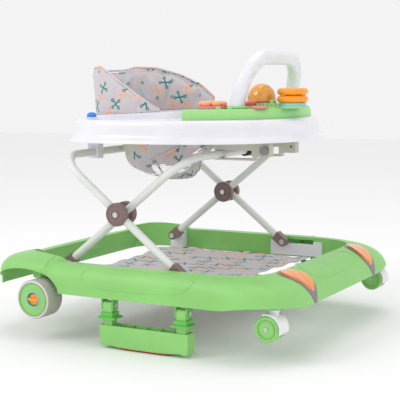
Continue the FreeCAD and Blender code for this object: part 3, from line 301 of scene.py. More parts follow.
def jack_layer(tree, vector, cell, shift, seed, odds):
    """One layer of crossed motifs with ringed ends, in some of the cells."""
    moved = vector_maths(tree, "ADD", vector_maths(tree, "DIVIDE", vector, cell), shift)
    whole = vector_maths(tree, "FLOOR", moved)
    local = vector_maths(tree, "SUBTRACT", vector_maths(tree, "SUBTRACT", moved, whole), (0.5, 0.5, 0.0))
    dice = node(tree, "ShaderNodeTexWhiteNoise",
                {"Vector": vector_maths(tree, "ADD", whole, (seed, 1.7, 0.5))},
                noise_dimensions="3D")
    turn = times(tree, dice.outputs["Value"], 6.283)
    jitter = vector_maths(tree, "MULTIPLY",
                          vector_maths(tree, "SUBTRACT", dice.outputs["Color"], (0.5, 0.5, 0.5)),
                          (0.16, 0.16, 0.0))
    turned = node(tree, "ShaderNodeVectorRotate", {"Vector": vector_maths(tree, "ADD", local, jitter),
                                                   "Angle": turn}, rotation_type="Z_AXIS").outputs[0]
    mirrored = vector_maths(tree, "ABSOLUTE", turned)
    axes = node(tree, "ShaderNodeSeparateXYZ", {0: mirrored}).outputs
    # Both arms of the cross fold onto one line through the middle of the quadrant
    along = maths(tree, "ADD", times(tree, axes[0], 0.60), times(tree, axes[1], 0.80))
    across = maths(tree, "ABSOLUTE", maths(tree, "SUBTRACT", times(tree, axes[0], 0.80),
                                           times(tree, axes[1], 0.60)))
    arm = times(tree, maths(tree, "LESS_THAN", across, 0.050), maths(tree, "LESS_THAN", along, 0.29))
    tip = vector_maths(tree, "DISTANCE", mirrored, (0.60 * 0.33, 0.80 * 0.33, 0.0))
    knob = times(tree, maths(tree, "LESS_THAN", tip, 0.102), maths(tree, "GREATER_THAN", tip, 0.036))
    shape = maths(tree, "MAXIMUM", arm, knob)
    chance = node(tree, "ShaderNodeSeparateColor", {0: dice.outputs["Color"]}).outputs[1]
    return times(tree, shape, maths(tree, "LESS_THAN", chance, odds))


@effect("Jack print",
        [("Vector", "Vector", None), ("Cell3", "Vector", None)],
        [("Teal", "Float"), ("Peach", "Float"), ("Blue", "Float")])
def jack_print(tree, given):
    """A scattered print: crossed motifs in two colours, a pale shadow of them, and small rings."""
    flat = vector_maths(tree, "MULTIPLY", given["Vector"], (1.0, 1.0, 0.0))
    teal = jack_layer(tree, flat, given["Cell3"], (0.0, 0.0, 0.0), 3.1, 0.52)
    peach = jack_layer(tree, flat, given["Cell3"], (0.5, 0.5, 0.0), 8.4, 0.42)
    blue = jack_layer(tree, flat, given["Cell3"], (0.56, 0.40, 0.0), 8.4, 0.60)
    shifted = vector_maths(tree, "ADD", vector_maths(tree, "DIVIDE", flat, given["Cell3"]), (0.5, 0.0, 0.0))
    local = vector_maths(tree, "SUBTRACT", vector_maths(tree, "FRACTION", shifted), (0.5, 0.5, 0.0))
    away = vector_maths(tree, "LENGTH", local)
    dot = times(tree, maths(tree, "LESS_THAN", away, 0.10), maths(tree, "GREATER_THAN", away, 0.045))
    cell = node(tree, "ShaderNodeTexWhiteNoise", {"Vector": vector_maths(tree, "FLOOR", shifted)},
                noise_dimensions="3D").outputs["Value"]
    dots = times(tree, dot, maths(tree, "GREATER_THAN", cell, 0.55))
    return maths(tree, "MAXIMUM", teal, dots), peach, blue


# ---------------------------------------------------------------- materials

def made_once(build):
    """A material by name: the first call builds it, later calls find it."""
    def found_or_built(name, *given, **named):
        material = bpy.data.materials.get(name)
        if not material:
            material = bpy.data.materials.new(name)
            material.use_nodes = True
            tree = material.node_tree
            where = node(tree, "ShaderNodeTexCoord").outputs["Object"]
            build(tree, tree.nodes["Principled BSDF"], where, *given, **named)
        return material
    return found_or_built


def bumped(tree, shader, height, strength, distance):
    bump = node(tree, "ShaderNodeBump", {"Height": height, "Strength": strength, "Distance": distance})
    tree.links.new(bump.outputs[0], shader.inputs["Normal"])


@made_once
def moulded(tree, shader, where, base, roughness=0.35, grain=900.0, strength=0.12, coat=0.0, scatter=0.0,
            variation=0.12):
    """Moulded plastic: slow colour drift, pale edges, dust and a fine grain."""
    edge = tuple(min(1.0, c * 0.85 + 0.15) for c in base)
    drift = use(tree, colour_drift(), {"Vector": where, "Colour": rgba(base), "Edge": rgba(edge),
                                       "Wear": sizes().wear})["Colour"]
    dusty = use(tree, fine_dust(), {"Vector": where, "Colour": drift, "Amount": 0.08})["Colour"]
    surface = use(tree, moulded_grain(), {"Vector": where, "Scale": grain, "Roughness": roughness,
                                          "Variation": variation})
    wired(tree, shader, {"Base Color": dusty, "Roughness": surface["Roughness"]})
    bumped(tree, shader, surface["Height"], strength, 0.0002)
    wired(tree, shader, {"Coat Weight": coat, "Coat Roughness": 0.12})
    if scatter:
        wired(tree, shader, {"Subsurface Weight": scatter, "Subsurface Radius": (0.004, 0.003, 0.002)})


@made_once
def clear_plastic(tree, shader, where, base, ribs):
    """Tinted, glossy plastic with moulded ribs and a deeper tint in its depth."""
    wave = node(tree, "ShaderNodeTexWave", {"Vector": where, "Scale": ribs, "Distortion": 0.4, "Detail": 1.0},
                bands_direction="DIAGONAL").outputs["Fac"]
    deep = tuple(c * s for c, s in zip(base, (0.82, 0.62, 0.35)))
    tone = mixed(tree, spread(tree, wave, 0.2, 0.8, 0.0, 0.45), rgba(base), rgba(deep))
    drift = use(tree, colour_drift(),
                {"Vector": where, "Colour": tone, "Edge": rgba((1.0, 0.8, 0.4)), "Scale": 20.0,
                                       "Wear": 0.3})["Colour"]
    surface = use(tree, moulded_grain(),
                  {"Vector": where, "Scale": 300.0, "Roughness": 0.14, "Variation": 0.05})
    wired(tree, shader, {"Base Color": drift, "Roughness": surface["Roughness"]})
    bumped(tree, shader, wave, 0.15, 0.0004)
    wired(tree, shader, {"Coat Weight": 0.8, "Coat Roughness": 0.05, "Subsurface Weight": 0.25,
                         "Subsurface Radius": (0.008, 0.004, 0.001)})


@made_once
def coated_tube(tree, shader, where, base):
    """Powder-coated steel: satin, with a fine pebble and faint scuffs."""
    drift = use(tree, colour_drift(), {"Vector": where, "Colour": rgba(base), "Edge": rgba((0.6, 0.6, 0.58)),
                                       "Wear": 0.1})["Colour"]
    scuff = noise(tree, vector_maths(tree, "MULTIPLY", where, (30.0, 400.0, 30.0)), 1.0, 4.0, 0.7)
    shade = mixed(tree, spread(tree, scuff, 0.62, 0.75, 0.0, 0.12), drift, rgba((0.45, 0.45, 0.43)))
    surface = use(tree, moulded_grain(),
                  {"Vector": where, "Scale": 1600.0, "Roughness": 0.33, "Variation": 0.1})
    wired(tree, shader, {"Base Color": shade, "Roughness": surface["Roughness"]})
    bumped(tree, shader, surface["Height"], 0.12, 0.0001)
    shader.inputs["Coat Weight"].default_value = 0.25


@made_once
def bare_metal(tree, shader, where, base, roughness):
    """Turned or plated metal, with fine scratches round it."""
    lines = noise(tree, vector_maths(tree, "MULTIPLY", where, (900.0, 90.0, 900.0)), 1.0, 3.0)
    tone = mixed(tree, spread(tree, lines, 0.3, 0.7, 0.0, 0.35), rgba(base),
                 rgba(tuple(c * 0.6 for c in base)))
    wired(tree, shader, {"Base Color": tone,
                         "Roughness": spread(tree, lines, 0.2, 0.8, roughness,
                                             roughness + 0.18), "Metallic": 1.0})
    bumped(tree, shader, lines, 0.08, 0.0001)


@made_once
def tread_rubber(tree, shader, where, base):
    """Hard tread with a fine diamond knurl and scuffing."""
    cells = node(tree, "ShaderNodeTexVoronoi",
                 {"Vector": vector_maths(tree, "MULTIPLY", where, (1.0, 0.45, 1.0)),
                                                "Scale": 420.0}).outputs["Distance"]
    drift = use(tree, colour_drift(), {"Vector": where, "Colour": rgba(base), "Edge": rgba((0.6, 0.6, 0.55)),
                                       "Scale": 30.0, "Wear": 0.3})["Colour"]
    tone = mixed(tree, spread(tree, cells, 0.15, 0.6, 0.0, 0.4), drift, rgba(tuple(c * 0.55 for c in base)))
    surface = use(tree, moulded_grain(),
                  {"Vector": where, "Scale": 500.0, "Roughness": 0.62, "Variation": 0.15})
    wired(tree, shader, {"Base Color": tone, "Roughness": surface["Roughness"]})
    bumped(tree, shader, cells, 0.5, 0.0005)


@made_once
def printed_cloth(tree, shader, where, ground, printed=True):
    """Woven cloth, with the scattered print where it has one."""
    along = node(tree, "ShaderNodeUVMap", uv_map="cloth").outputs[0]
    weave = use(tree, plain_weave(), {"Vector": along, "Pitch": sizes().weave_pitch})
    tone = mixed(tree, spread(tree, noise(tree, where, 60.0, 4.0), 0.35, 0.7, 0.0, 0.35), rgba(ground),
                 rgba(tuple(c * 0.82 for c in ground)))
    if printed:
        cell = sizes().print_cell
        masks = use(tree, jack_print(), {"Vector": along, "Cell3": (cell, cell, cell)})
        for mask, ink, share in (("Blue", colours().print_blue, 0.7), ("Peach", colours().print_peach, 0.95),
                                 ("Teal", colours().print_teal, 1.0)):
            tone = mixed(tree, times(tree, masks[mask], share), tone, rgba(ink))
    shade = node(tree, "ShaderNodeCombineColor",
                 {0: weave["Shade"], 1: weave["Shade"], 2: weave["Shade"]}).outputs[0]
    woven = mixed(tree, 1.0, tone, shade, "MULTIPLY")
    dusty = use(tree, fine_dust(), {"Vector": where, "Colour": woven, "Amount": 0.05})["Colour"]
    wired(tree, shader, {"Base Color": dusty,
                         "Roughness": spread(tree, weave["Height"], -0.5, 1.0, 0.92, 0.78)})
    bumped(tree, shader, weave["Height"], 0.35, 0.0004)
    wired(tree, shader, {"Sheen Weight": 0.15, "Sheen Roughness": 0.5})


@made_once
def studio_floor(tree, shader, where):
    """Pale, matt and nearly even."""
    tone = mixed(tree, noise(tree, where, 2.0), (0.93, 0.93, 0.93, 1), (0.96, 0.96, 0.96, 1))
    wired(tree, shader, {"Base Color": tone, "Roughness": 0.9})


def rail_plastic():
    return moulded("rail_green", colours().rail_green, 0.42, 700.0, 0.16, 0.05, 0.04)


# The rail green with painted shade, for the parts under the rail
def shade_painted_plastic():
    return moulded("shade_painted_green", colours().shade_painted_green, 0.45, 700.0, 0.16)


def tray_plastic():
    return moulded("tray_white", colours().tray_white, 0.24, 500.0, 0.05, 0.35, 0.05, 0.06)


def toy_plastic(name, base):
    return moulded(name, base, 0.26, 600.0, 0.05, 0.4, 0.06, 0.08)


# ---------------------------------------------------------------- mesh helpers

def placed(name, mesh):
    """An object in the scene from a mesh, shaded smooth."""
    mesh.polygons.foreach_set("use_smooth", [True] * len(mesh.polygons))
    made = bpy.data.objects.new(name, mesh)
    bpy.context.scene.collection.objects.link(made)
    return made


def mesh_object(name, points, faces, uvs=None):
    """A smooth-shaded object from points and faces. uvs are each point's metres along the cloth."""
    mesh = bpy.data.meshes.new(name)
    mesh.from_pydata([tuple(map(float, p)) for p in points], [], faces)
    if uvs is not None:
        layer = mesh.uv_layers.new(name="cloth")
        for loop in mesh.loops:
            layer.data[loop.index].uv = uvs[loop.vertex_index]
    mesh.validate()
    return placed(name, mesh)


def outward(made):
    """Turns every face of a closed mesh outward."""
    work = bmesh.new()
    work.from_mesh(made.data)
    bmesh.ops.recalc_face_normals(work, faces=work.faces)
    work.to_mesh(made.data)
    work.free()
    return made


def net(rows, columns, wrap_rows=False, wrap_columns=False):
    """Quads between neighbouring rows and columns of points."""
    faces = []
    for i in range(rows if wrap_rows else rows - 1):
        for j in range(columns if wrap_columns else columns - 1):
            a, b = i, (i + 1) % rows
            c, d = j, (j + 1) % columns
            faces.append((a * columns + c, a * columns + d, b * columns + d, b * columns + c))
    return faces


def directions(path, closed=False):
    """Unit tangents along a path of points."""
    path = np.asarray(path, float)
    if closed:
        steps = np.roll(path, -1, axis=0) - np.roll(path, 1, axis=0)
    else:
        steps = np.gradient(path, axis=0)
    return steps / np.linalg.norm(steps, axis=1)[:, None]


def swept(name, path, section, up=(0, 0, 1), closed=False):
    """A tube along a path: section(i, angle) gives (sideways, up) offsets; the ends are capped."""
    path = np.asarray(path, float)
    along = directions(path, closed)
    points = []
    for i, (spot, heading) in enumerate(zip(path, along)):
        across = np.cross(heading, up)
        across /= np.linalg.norm(across)
        high = np.cross(across, heading)
        for k in range(TUBE_SIDES):
            a, b = section(i, 2 * math.pi * k / TUBE_SIDES)
            points.append(spot + across * a + high * b)
    faces = net(len(path), TUBE_SIDES, wrap_rows=closed, wrap_columns=True)
    if not closed:
        faces.append(tuple(range(TUBE_SIDES)))
        faces.append(tuple((len(path) - 1) * TUBE_SIDES + k for k in reversed(range(TUBE_SIDES))))
    return outward(mesh_object(name, points, faces))


def wire(name, path, radius, up=(0, 0, 1), closed=False):
    return swept(name, path, lambda i, angle: (radius * math.cos(angle), radius * math.sin(angle)), up,
                 closed)


def ring_bead(name, centre, reach, radius, look, axis=(0, 1, 0), squash=1.0):
    """A round bead, a circle about an axis. look is its material, body and slot."""
    axis = Vector(axis).normalized()
    first = axis.orthogonal().normalized()
    second = axis.cross(first)
    path = [np.array(Vector(centre) + (first * math.cos(a) + second * math.sin(a)) * reach)
            for a in (2 * math.pi * i / BEAD_STEPS for i in range(BEAD_STEPS))]
    made = swept(name, path, lambda i, angle: (radius * math.cos(angle), radius * squash * math.sin(angle)),
                 tuple(axis), True)
    return dressed(made, *look)


def lathe(name, centre, profile, turns=64, wobble=None):
    """A round piece about the vertical through centre; profile is (radius, height) from the bottom up."""
    points = []
    for r, z in profile:
        for k in range(turns):
            angle = 2 * math.pi * k / turns
            reach = r * (1 + (wobble(angle, z) if wobble else 0))
            points.append((centre[0] + reach * math.cos(angle), centre[1] + reach * math.sin(angle),
                           centre[2] + z))
    faces = net(len(profile), turns, wrap_columns=True)
    faces.append(tuple(reversed(range(turns))))
    faces.append(tuple((len(profile) - 1) * turns + k for k in range(turns)))
    return outward(mesh_object(name, points, faces))


def rounded(made, width):
    """A bevel over every sharp edge."""
    bevel = made.modifiers.new("soft_edges", "BEVEL")
    bevel.width = width
    bevel.segments = 2
    bevel.limit_method = "ANGLE"
    return made


def dressed(made, material, body, slot):
    """Gives a piece its material and lets it ride on a body. The slot is not used."""
    made.data.materials.clear()
    made.data.materials.append(material)
    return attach(made, body)


def painted(material, *names):
    """Gives CAD nodes their material."""
    for name in names:
        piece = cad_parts[name]
        piece.data.materials.clear()
        piece.data.materials.append(material)
        piece.data.polygons.foreach_set("material_index", [0] * len(piece.data.polygons))


def middle(node_name):
    low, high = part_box(node_name)
    return (low + high) / 2


def round_size(node_name):
    """The low corner of a round node's box, its middle, radius and height."""
    low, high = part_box(node_name)
    return low, (low + high) / 2, (high.x - low.x) / 2, high.z - low.z


def on_surface(target, start, heading):
    """Where a ray meets a CAD node, and the normal there."""
    hit, place, normal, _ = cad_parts[target].ray_cast(Vector(start), Vector(heading).normalized())
    return (place, normal) if hit else (None, None)


def surface_bead(name, target, starts, heading, radius):
    """A fine moulded line laid on a node's surface, half sunk in it."""
    spots = []
    for start in starts:
        place, normal = on_surface(target, start, heading)
        if place is None:
            raise RuntimeError("%s misses %s" % (name, target))
        spots.append(np.array(place - normal * radius * 0.35))
    return wire(name, spots, radius, (0.01, 0.02, 1.0))


def curve_through(points, count):
    """Evenly parametrised points on a smooth curve through the given ones."""
    points = np.asarray(points, float)
    n = len(points)
    found = []
    for i in range(count):
        t = i * (n - 1) / (count - 1)
        k = min(int(t), n - 2)
        f = t - k
        a, b, c, d = (points[min(max(k + j, 0), n - 1)] for j in (-1, 0, 1, 2))
        found.append(0.5 * (2 * b + (c - a) * f + (2 * a - 5 * b + 4 * c - d) * f * f
                            + (3 * b - a - 3 * c + d) * f ** 3))
    return np.array(found)


def swelled(made, pressure, cap, held):
    """Swells a closed cloth by simulation, keeps held points still and caps how far the others move."""
    rest = np.array([v.co for v in made.data.vertices])
    group = made.vertex_groups.new(name="held")
    group.add([int(i) for i in np.nonzero(held)[0]], 1.0, "REPLACE")
    cloth = made.modifiers.new("padding", "CLOTH")
    cloth.settings.quality = 5
    cloth.settings.use_pressure = True
    cloth.settings.uniform_pressure_force = pressure
    cloth.settings.effector_weights.gravity = 0
    cloth.settings.vertex_group_mass = "held"
    cloth.settings.tension_stiffness = 18
    cloth.settings.bending_stiffness = 0.4
    cloth.collision_settings.use_collision = False
    cloth.collision_settings.use_self_collision = False
    scene = bpy.context.scene
    for step in range(1, CLOTH_FRAMES + 1):
        scene.frame_set(step)
    view = made.evaluated_get(bpy.context.evaluated_depsgraph_get())
    moved = np.array([v.co for v in view.data.vertices])
    scene.frame_set(1)
    made.modifiers.remove(cloth)
    shift = moved - rest
    far = np.linalg.norm(shift, axis=1)
    scale = np.where(far > cap, cap / np.maximum(far, 1e-9), 1.0)
    made.data.vertices.foreach_set("co", (rest + shift * scale[:, None]).astype(np.float32).ravel())
    made.data.update()
    return made


def thickened(made, name, thick, offset):
    """Gives a sheet its thickness."""
    skin = made.modifiers.new(name, "SOLIDIFY")
    skin.thickness = thick
    skin.offset = offset


def smoothed(made):
    subdivision = made.modifiers.new("smooth", "SUBSURF")
    subdivision.levels = subdivision.render_levels = 1
    return made


# ---------------------------------------------------------------- operators

class WALKER_OT_hard_parts(bpy.types.Operator):
    """Gives the moulded, steel and rubber parts their finishes"""
    bl_idname = "walker.hard_parts"
    bl_label = "Hard parts"

    def execute(self, context):
        tint = colours()
        rail, deep, white = rail_plastic(), shade_painted_plastic(), tray_plastic()
        brown = moulded("cap_brown", tint.cap_brown, 0.38, 800.0, 0.14)
        steel = bare_metal("zinc_steel", (0.72, 0.72, 0.70), 0.28)
        painted(rail, "base_ring", "stopper_bar_left", "stopper_bar_right", "rear_hub_left", "rear_hub_right",
                "caster_sockets")
        # The parts under the rail get the darker green, which is painted shade
        painted(deep, "mat_hooks", "stopper_clevises", "wheel_hangers", "lock_collars_left",
                "lock_collars_right")
        painted(white, "tray_shell", "crossbar_clips", "slot_plates", "rear_brackets")
        painted(moulded("hood_white", tint.tray_white, 0.36, 700.0, 0.08), "caster_fork_left",
                "caster_fork_right")
        wheel = moulded("wheel_green", tint.rail_green, 0.22, 600.0, 0.05, 0.3)
        painted(wheel, *("caster_wheel_%s_%s" % (side, place) for side in SIDES for place in ("inner",
                                                                                              "outer")))
        painted(coated_tube("tube_grey", tint.tube_grey), "inner_leg_frame", "outer_leg_frame")
        painted(brown, "inner_foot_caps", "outer_foot_caps", "inner_pivot_discs", "outer_pivot_discs")
        painted(steel, "pivot_bolts", "rear_foot_pins", "slot_pins", "rear_axles", "stopper_pins",
                "caster_axle_left", "caster_axle_right")
        painted(bare_metal("screw_grey", (0.34, 0.34, 0.33), 0.45), "lock_screw")
        painted(moulded("guide_cream", tint.lining, 0.42, 700.0, 0.12), "front_guides")
        painted(clear_plastic("lens_amber", tint.lens_amber, 26.0), "lamp_lenses")
        painted(moulded("bezel_mauve", tint.bezel_mauve, 0.34, 800.0, 0.1, 0.2), "lamp_bezels")
        painted(toy_plastic("ring_orange", tint.ring_orange), "brake_knob_left", "brake_knob_right")
        painted(tread_rubber("tread_grey", tint.tread_grey), "rear_tyre_left", "rear_tyre_right")
        painted(moulded("pad_red", tint.pad_red, 0.55, 900.0, 0.25), "stopper_pad_left", "stopper_pad_right")
        return {"FINISHED"}


class WALKER_OT_base_lines(bpy.types.Operator):
    """Moulded lines of the base ring: side panels, front panel and the rear seams"""
    bl_idname = "walker.base_lines"
    bl_label = "Base ring lines"

    def execute(self, context):
        bead = sizes().bead
        green = rail_plastic()
        side_panel = [(-0.088, 0.1500), (-0.101, 0.146), (-0.106, 0.136), (-0.089, 0.122), (-0.038, 0.117),
                      (0.035, 0.117), (0.104, 0.120), (0.134, 0.129), (0.144, 0.139)]
        outline = curve_through(side_panel, 90)
        front_panel = [(0.080, 0.268), (0.100, 0.279), (0.112, 0.293), (0.112, 0.308), (0.098, 0.318),
                       (0.060, 0.322), (0.0, 0.323), (-0.060, 0.322), (-0.098, 0.318), (-0.112, 0.308),
                       (-0.112, 0.293), (-0.100, 0.279), (-0.080, 0.268)]
        for side, sign in SIDES.items():
            starts = [(x, sign * BEYOND_SIDE, z) for x, z in outline]
            made = surface_bead("side_panel_line_" + side, "base_ring", starts, (0, -sign, 0), bead)
            dressed(made, green, "base", "green_plastic")
        starts = [(x, y, ABOVE_RAIL) for y, x in curve_through(front_panel, 130)]
        dressed(surface_bead("front_panel_line", "base_ring", starts, (0, 0, -1), bead), green, "base",
                "green_plastic")
        for side, sign in SIDES.items():
            for name, x in (("rear_seam_", -0.196), ("front_step_", 0.147)):
                starts = [(x, sign * y, ABOVE_RAIL) for y in np.linspace(SEAM_FROM, SEAM_TO, 24)]
                made = surface_bead(name + side, "base_ring", starts, (0, 0, -1), bead)
                dressed(made, green, "base", "green_plastic")
        return {"FINISHED"}


class WALKER_OT_wheel_trim(bpy.types.Operator):
    """Beads and rims of the wheels"""
    bl_idname = "walker.wheel_trim"
    bl_label = "Wheel trim"

    def execute(self, context):
        tint = colours()
        lilac = moulded("rim_lilac", tint.rim_lilac, 0.34, 600.0, 0.08, 0.2)
        teal = moulded("disc_blue", tint.disc_blue, 0.3, 600.0, 0.05, 0.3)
        wheel = moulded("wheel_green", tint.rail_green, 0.22)
        for side, sign in SIDES.items():
            hub = middle("rear_tyre_" + side)
            low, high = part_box("rear_tyre_" + side)
            face = high.y if sign > 0 else low.y
            back = low.y if sign > 0 else high.y
            reach = (high.x - low.x) / 2
            body = "rear_wheel_" + side
            for name, y in (("rim_outer_", face - sign * RIM_SUNK), ("rim_inner_", back + sign * RIM_SUNK)):
                ring_bead(name + side, (hub.x, y, hub.z), reach - RIM_INSET, RIM_BEAD, (lilac, body, "tread"))
            spot = (hub.x, face - sign * FINE_SUNK, hub.z)
            ring_bead("dish_ring_" + side, spot, DISH_RING, DISH_BEAD, (teal, body, "teal_plastic"))
            ring_bead("face_ring_" + side, spot, FACE_RING, FINE_BEAD, (wheel, body, "green_wheel"))
            for place in ("inner", "outer"):
                label = "caster_wheel_%s_%s" % (side, place)
                low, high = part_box(label)
                spot = (low + high) / 2
                outside = spot.y > middle("caster_fork_" + side).y
                flat = high.y if outside else low.y
                reach = (high.x - low.x) / 2
                for number, share in enumerate((0.90, 0.66)):
                    ring_bead("%s_ring_%d" % (label, number), (spot.x, flat, spot.z), reach * share,
                              FINE_BEAD,
                              (wheel, label, "green_wheel"))
        return {"FINISHED"}


class WALKER_OT_leg_trim(bpy.types.Operator):
    """Rings on the pivot discs and the black strap"""
    bl_idname = "walker.leg_trim"
    bl_label = "Leg trim"

    def execute(self, context):
        brown = moulded("cap_brown", colours().cap_brown, 0.38)
        black = moulded("strap_black", colours().strap_black, 0.6, 500.0, 0.3)
        for body, label in (("outer_legs", "outer_pivot_discs"), ("inner_legs", "inner_pivot_discs")):
            low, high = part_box(label)
            spot = (low + high) / 2
            for side, sign in SIDES.items():
                face = sign * high.y if body == "outer_legs" else sign * (high.y - INNER_DISC_STEP)
                for number, reach in enumerate(PIVOT_RINGS):
                    ring_bead("%s_%s_%d" % (label, side, number), (spot.x, face, spot.z), reach, PIVOT_BEAD,
                              (brown, body, "brown_plastic"))
        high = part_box("inner_leg_frame")[1]
        spot = np.array((high.x - TUBE_RADIUS, STRAP_PLACE, high.z - TUBE_RADIUS))
        for number in range(3):
            ring_bead("bar_strap_%d" % number, spot + np.array((0, STRAP_STEP * number, 0)),
                      TUBE_RADIUS + 0.0012,
                      STRAP_THICK, (black, "inner_legs", "webbing"), squash=0.55)
        return {"FINISHED"}


class WALKER_OT_handle(bpy.types.Operator):
    """The toy handle: a leaning arch of oval section with finger dimples and a parting line"""
    bl_idname = "walker.handle"
    bl_label = "Handle"

    def execute(self, context):
        low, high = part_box("handle_arch")
        half = high.y - HANDLE_RADIUS + 0.003
        foot = np.array((low.x + HANDLE_RADIUS, 0.0, low.z))
        crown = np.array((high.x - HANDLE_RADIUS * 0.98, 0.0, high.z - HANDLE_RADIUS))
        rise = crown - foot
        tall = np.linalg.norm(rise)
        lift = rise / tall
        bend = HANDLE_BEND
        turn = [(-half + bend * (1 - math.cos(a)), tall - bend + bend * math.sin(a))
                for a in np.linspace(0, math.pi / 2, 22)[1:]]
        one_side = [(-half, 0.0)] + [(-half, t) for t in np.linspace(0.001, tall - bend, 12)] + turn
        other = [(-y, t) for y, t in reversed(one_side)]
        crossing = [(y, tall) for y in np.linspace(-half + bend, half - bend, 16)[1:-1]]
        path = np.array([foot + np.array((0, y, 0)) + lift * t for y, t in one_side + crossing + other])
        steps = np.concatenate([[0], np.cumsum(np.linalg.norm(np.diff(path, axis=0), axis=1))])
        even = np.linspace(0, steps[-1], HANDLE_STEPS)
        path = np.array([[np.interp(s, steps, path[:, k]) for k in range(3)] for s in even])
        front = np.cross((0, 1, 0), lift)
        front /= np.linalg.norm(front)
        heading = directions(path)
        power = HANDLE_SQUARENESS
        dimples = [DIMPLE_START + DIMPLE_STEP * k for k in range(3)]
        wide, deep = sizes().handle_tall, sizes().handle_flat
        points = []
        for i, (spot, along) in enumerate(zip(path, heading)):
            out = np.cross(along, front)
            for k in range(HANDLE_SIDES):
                angle = 2 * math.pi * k / HANDLE_SIDES
                c, s = math.cos(angle), math.sin(angle)
                reach = (abs(c / deep) ** power + abs(s / wide) ** power) ** (-1 / power)
                turned = min(angle, 2 * math.pi - angle, abs(angle - math.pi))
                for start in dimples:
                    for place in (start, even[-1] - start):
                        away = ((even[i] - place) / DIMPLE_LONG) ** 2 + (turned / DIMPLE_ROUND) ** 2
                        reach -= sizes().dimple * math.exp(-away * 1.6)
                reach -= PARTING * math.exp(-((abs(s) - 1) / 0.004) ** 2)
                points.append(spot + front * reach * c + out * reach * s)
        faces = net(len(path), HANDLE_SIDES, wrap_columns=True)
        faces += [tuple(range(HANDLE_SIDES)),
                  tuple((len(path) - 1) * HANDLE_SIDES + k for k in range(HANDLE_SIDES))]
        made = outward(mesh_object("toy_handle", points, faces))
        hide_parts("handle_arch")
        dressed(made, tray_plastic(), "tray", "white_plastic")
        return {"FINISHED"}


